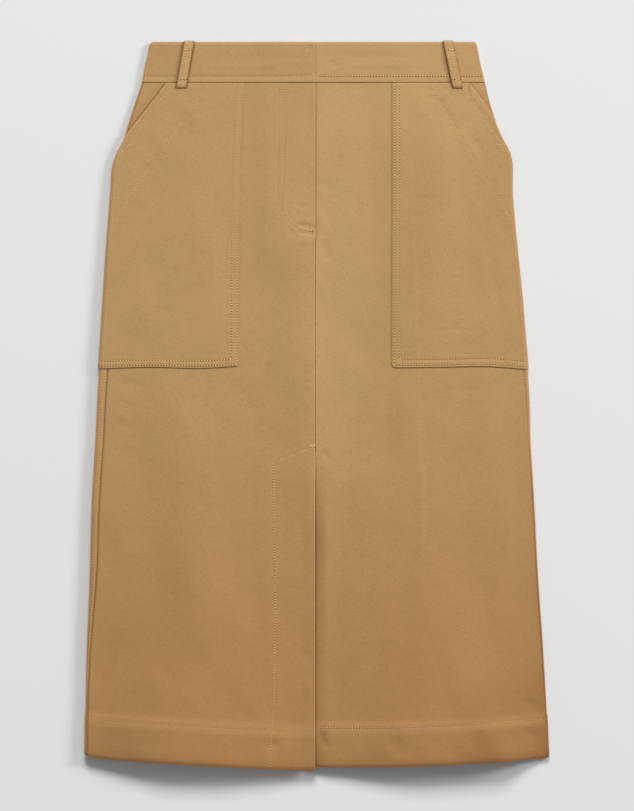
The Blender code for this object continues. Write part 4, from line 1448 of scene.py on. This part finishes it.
def hole():
    """Painted shadow of a needle hole's pit, with a little of the cloth's unevenness."""
    wiring = Wiring("needle_hole_shadow", {"Roughness": 1, "Specular IOR Level": 0})
    uneven = wiring.noise(wiring.place(), (HOLE_GRAIN,) * 3)
    colour = wiring.blend(uneven, opaque(HOLE_SHADE_COLOUR), opaque(HOLE_SHADE_COLOUR, HOLE_BRIGHT))
    wiring.set(wiring.shader, {"Base Color": colour})
    return wiring.material


def wear(piece, material):
    piece.data.materials.clear()
    piece.data.materials.append(material)


def build_cloth():
    left = front_panel(LEFT, "front_left_cloth")
    right = front_panel(RIGHT, "front_right_cloth")
    back = back_panel()
    pocket_l = pocket(LEFT, "pocket_left_cloth")
    pocket_r = pocket(RIGHT, "pocket_right_cloth")
    band = waistband()
    loop_l = belt_loop(LEFT_LOOP, "belt_loop_left_cloth", LOOP_ROW)
    loop_r = belt_loop(RIGHT_LOOP, "belt_loop_right_cloth", -LOOP_ROW)
    nodes = {
        left: "front_left_panel",
        right: "front_right_panel",
        back: "back_panel",
        pocket_l: "pocket_left",
        pocket_r: "pocket_right",
        band: "waistband",
        loop_l: "belt_loop_left",
        loop_r: "belt_loop_right",
    }
    for piece, node in nodes.items():
        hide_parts(node)
    return left, right, back, pocket_l, pocket_r, band, loop_l, loop_r


# The bar tack: from and to which distance across, each stitch's length, and the step between them
TACK_SPAN, TACK_LENGTH, TACK_STEP = (-5.6, 2.4), 2.1, 0.9
# How far above the vent's top it starts, its stitches' turns up and down, its slope, and their lean
TACK_ABOVE, TACK_STAGGER, TACK_SLOPE, TACK_LEAN = 1.2, 0.5, 0.14, 0.25
TACK_SEED, TACK_MEAN_RUN = 20, 0.3


def tack_rows():
    """Bar tack at the top of the vent: short stitches side by side."""
    rows = []
    for number, across in enumerate(np.arange(TACK_SPAN[0], TACK_SPAN[1], TACK_STEP)):
        level = VENT_TOP - TACK_ABOVE + TACK_STAGGER * (-1) ** number
        level = level - TACK_SLOPE * (across - TACK_SPAN[0])
        down = np.linspace(level - TACK_LENGTH / 2, level + TACK_LENGTH / 2, 8)
        rows.append(path(across + TACK_LEAN * (down - level), down))
    return rows


def sew(pieces):
    """Every piece's thread, and the painted shadows of its needle holes."""
    left, right, back, pocket_l, pocket_r, band, loop_l, loop_r = pieces
    plan = (
        (left, "front_left", front_rows(LEFT), "twill_front"),
        (right, "front_right", front_rows(RIGHT), "twill_front"),
        (pocket_l, "pocket_left", pocket_rows(LEFT), "twill_pocket"),
        (pocket_r, "pocket_right", pocket_rows(RIGHT), "twill_pocket"),
        (back, "back", back_rows(), "twill_back"),
        (band, "waistband", band_rows(), "twill_waistband"),
        (loop_l, "loop_left", loop_rows(LEFT_LOOP, LOOP_ROW), "twill_belt_loop"),
        (loop_r, "loop_right", loop_rows(RIGHT_LOOP, -LOOP_ROW), "twill_belt_loop"),
    )
    all_holes, threads = [], []
    for number, (piece, name, rows, slot) in enumerate(plan):
        bars, holes, faces = stitches(piece, rows, number + 1)
        threads.append(joined("thread_" + name, bars, faces))
        all_holes += holes
    bars, _, faces = stitches(left, tack_rows(), TACK_SEED, TACK_LENGTH, TACK_LENGTH, TACK_MEAN_RUN)
    threads.append(joined("thread_bar_tack", bars, faces))
    return threads, joined("needle_hole_shadows", all_holes, faces)


FLOOR_SIZE, FLOOR_DEPTH = 8.0, 0.0004  # in metres
FLOOR_COLOUR = (0.797, 0.803, 0.806)


def floor():
    bpy.ops.mesh.primitive_plane_add(size=FLOOR_SIZE, location=(0.0, 0.0, -FLOOR_DEPTH))
    plane = bpy.context.object
    plane.name = "floor"
    looks = {"Base Color": opaque(FLOOR_COLOUR), "Roughness": 0.9, "Specular IOR Level": 0.1}
    wear(plane, Wiring("floor", looks).material)


def lamp(name, azimuth, elevation, distance, size, power):
    """Soft lamp that faces the origin, in metres and degrees, with the azimuth from +X towards +Y."""
    light = bpy.data.lights.new(name, "AREA")
    light.shape = "RECTANGLE"
    light.size, light.size_y = size
    light.energy = power
    holder = new_object(name, light)
    turn, rise = math.radians(azimuth), math.radians(elevation)
    way = Vector((math.cos(rise) * math.cos(turn), math.cos(rise) * math.sin(turn), math.sin(rise)))
    holder.location = way * distance
    holder.rotation_euler = way.to_track_quat("Z", "Y").to_euler()


SKY_COLOUR, SKY_STRENGTH = (1.0, 0.995, 0.99), 0.27


def studio():
    lamp("key", azimuth=90, elevation=37, distance=14, size=(5, 4.4), power=1480)
    lamp("side", azimuth=28, elevation=27, distance=12, size=(3.4, 3.2), power=780)
    world = bpy.data.worlds.new("studio")
    world.use_nodes = True
    background = world.node_tree.nodes["Background"]
    background.inputs["Color"].default_value = opaque(SKY_COLOUR)
    background.inputs["Strength"].default_value = SKY_STRENGTH
    bpy.context.scene.world = world
    bpy.context.scene.view_settings.view_transform = "Standard"


CAMERA_HEIGHT = 4000  # above the middle of the skirt's thickness
MIDDLE_HEIGHT = 10
VIEW_HEIGHT = 892.1  # of the skirt's own plane, along the image's longer side
SENSOR = 36


def camera():
    data = bpy.data.cameras.new("camera")
    data.sensor_width = SENSOR
    data.lens = SENSOR * CAMERA_HEIGHT / VIEW_HEIGHT
    data.clip_end = 50.0
    holder = new_object("camera", data)
    holder.location = (0.0, 0.0, (CAMERA_HEIGHT + MIDDLE_HEIGHT) * MM)
    bpy.context.scene.camera = holder


camera()
studio()
floor()
cloth = build_cloth()
for piece in cloth:
    wear(piece, twill(piece.name + "_twill"))
threads, needle_hole_shadows = sew(cloth)
sewing = thread()
for piece in threads:
    wear(piece, sewing)
wear(needle_hole_shadows, hole())
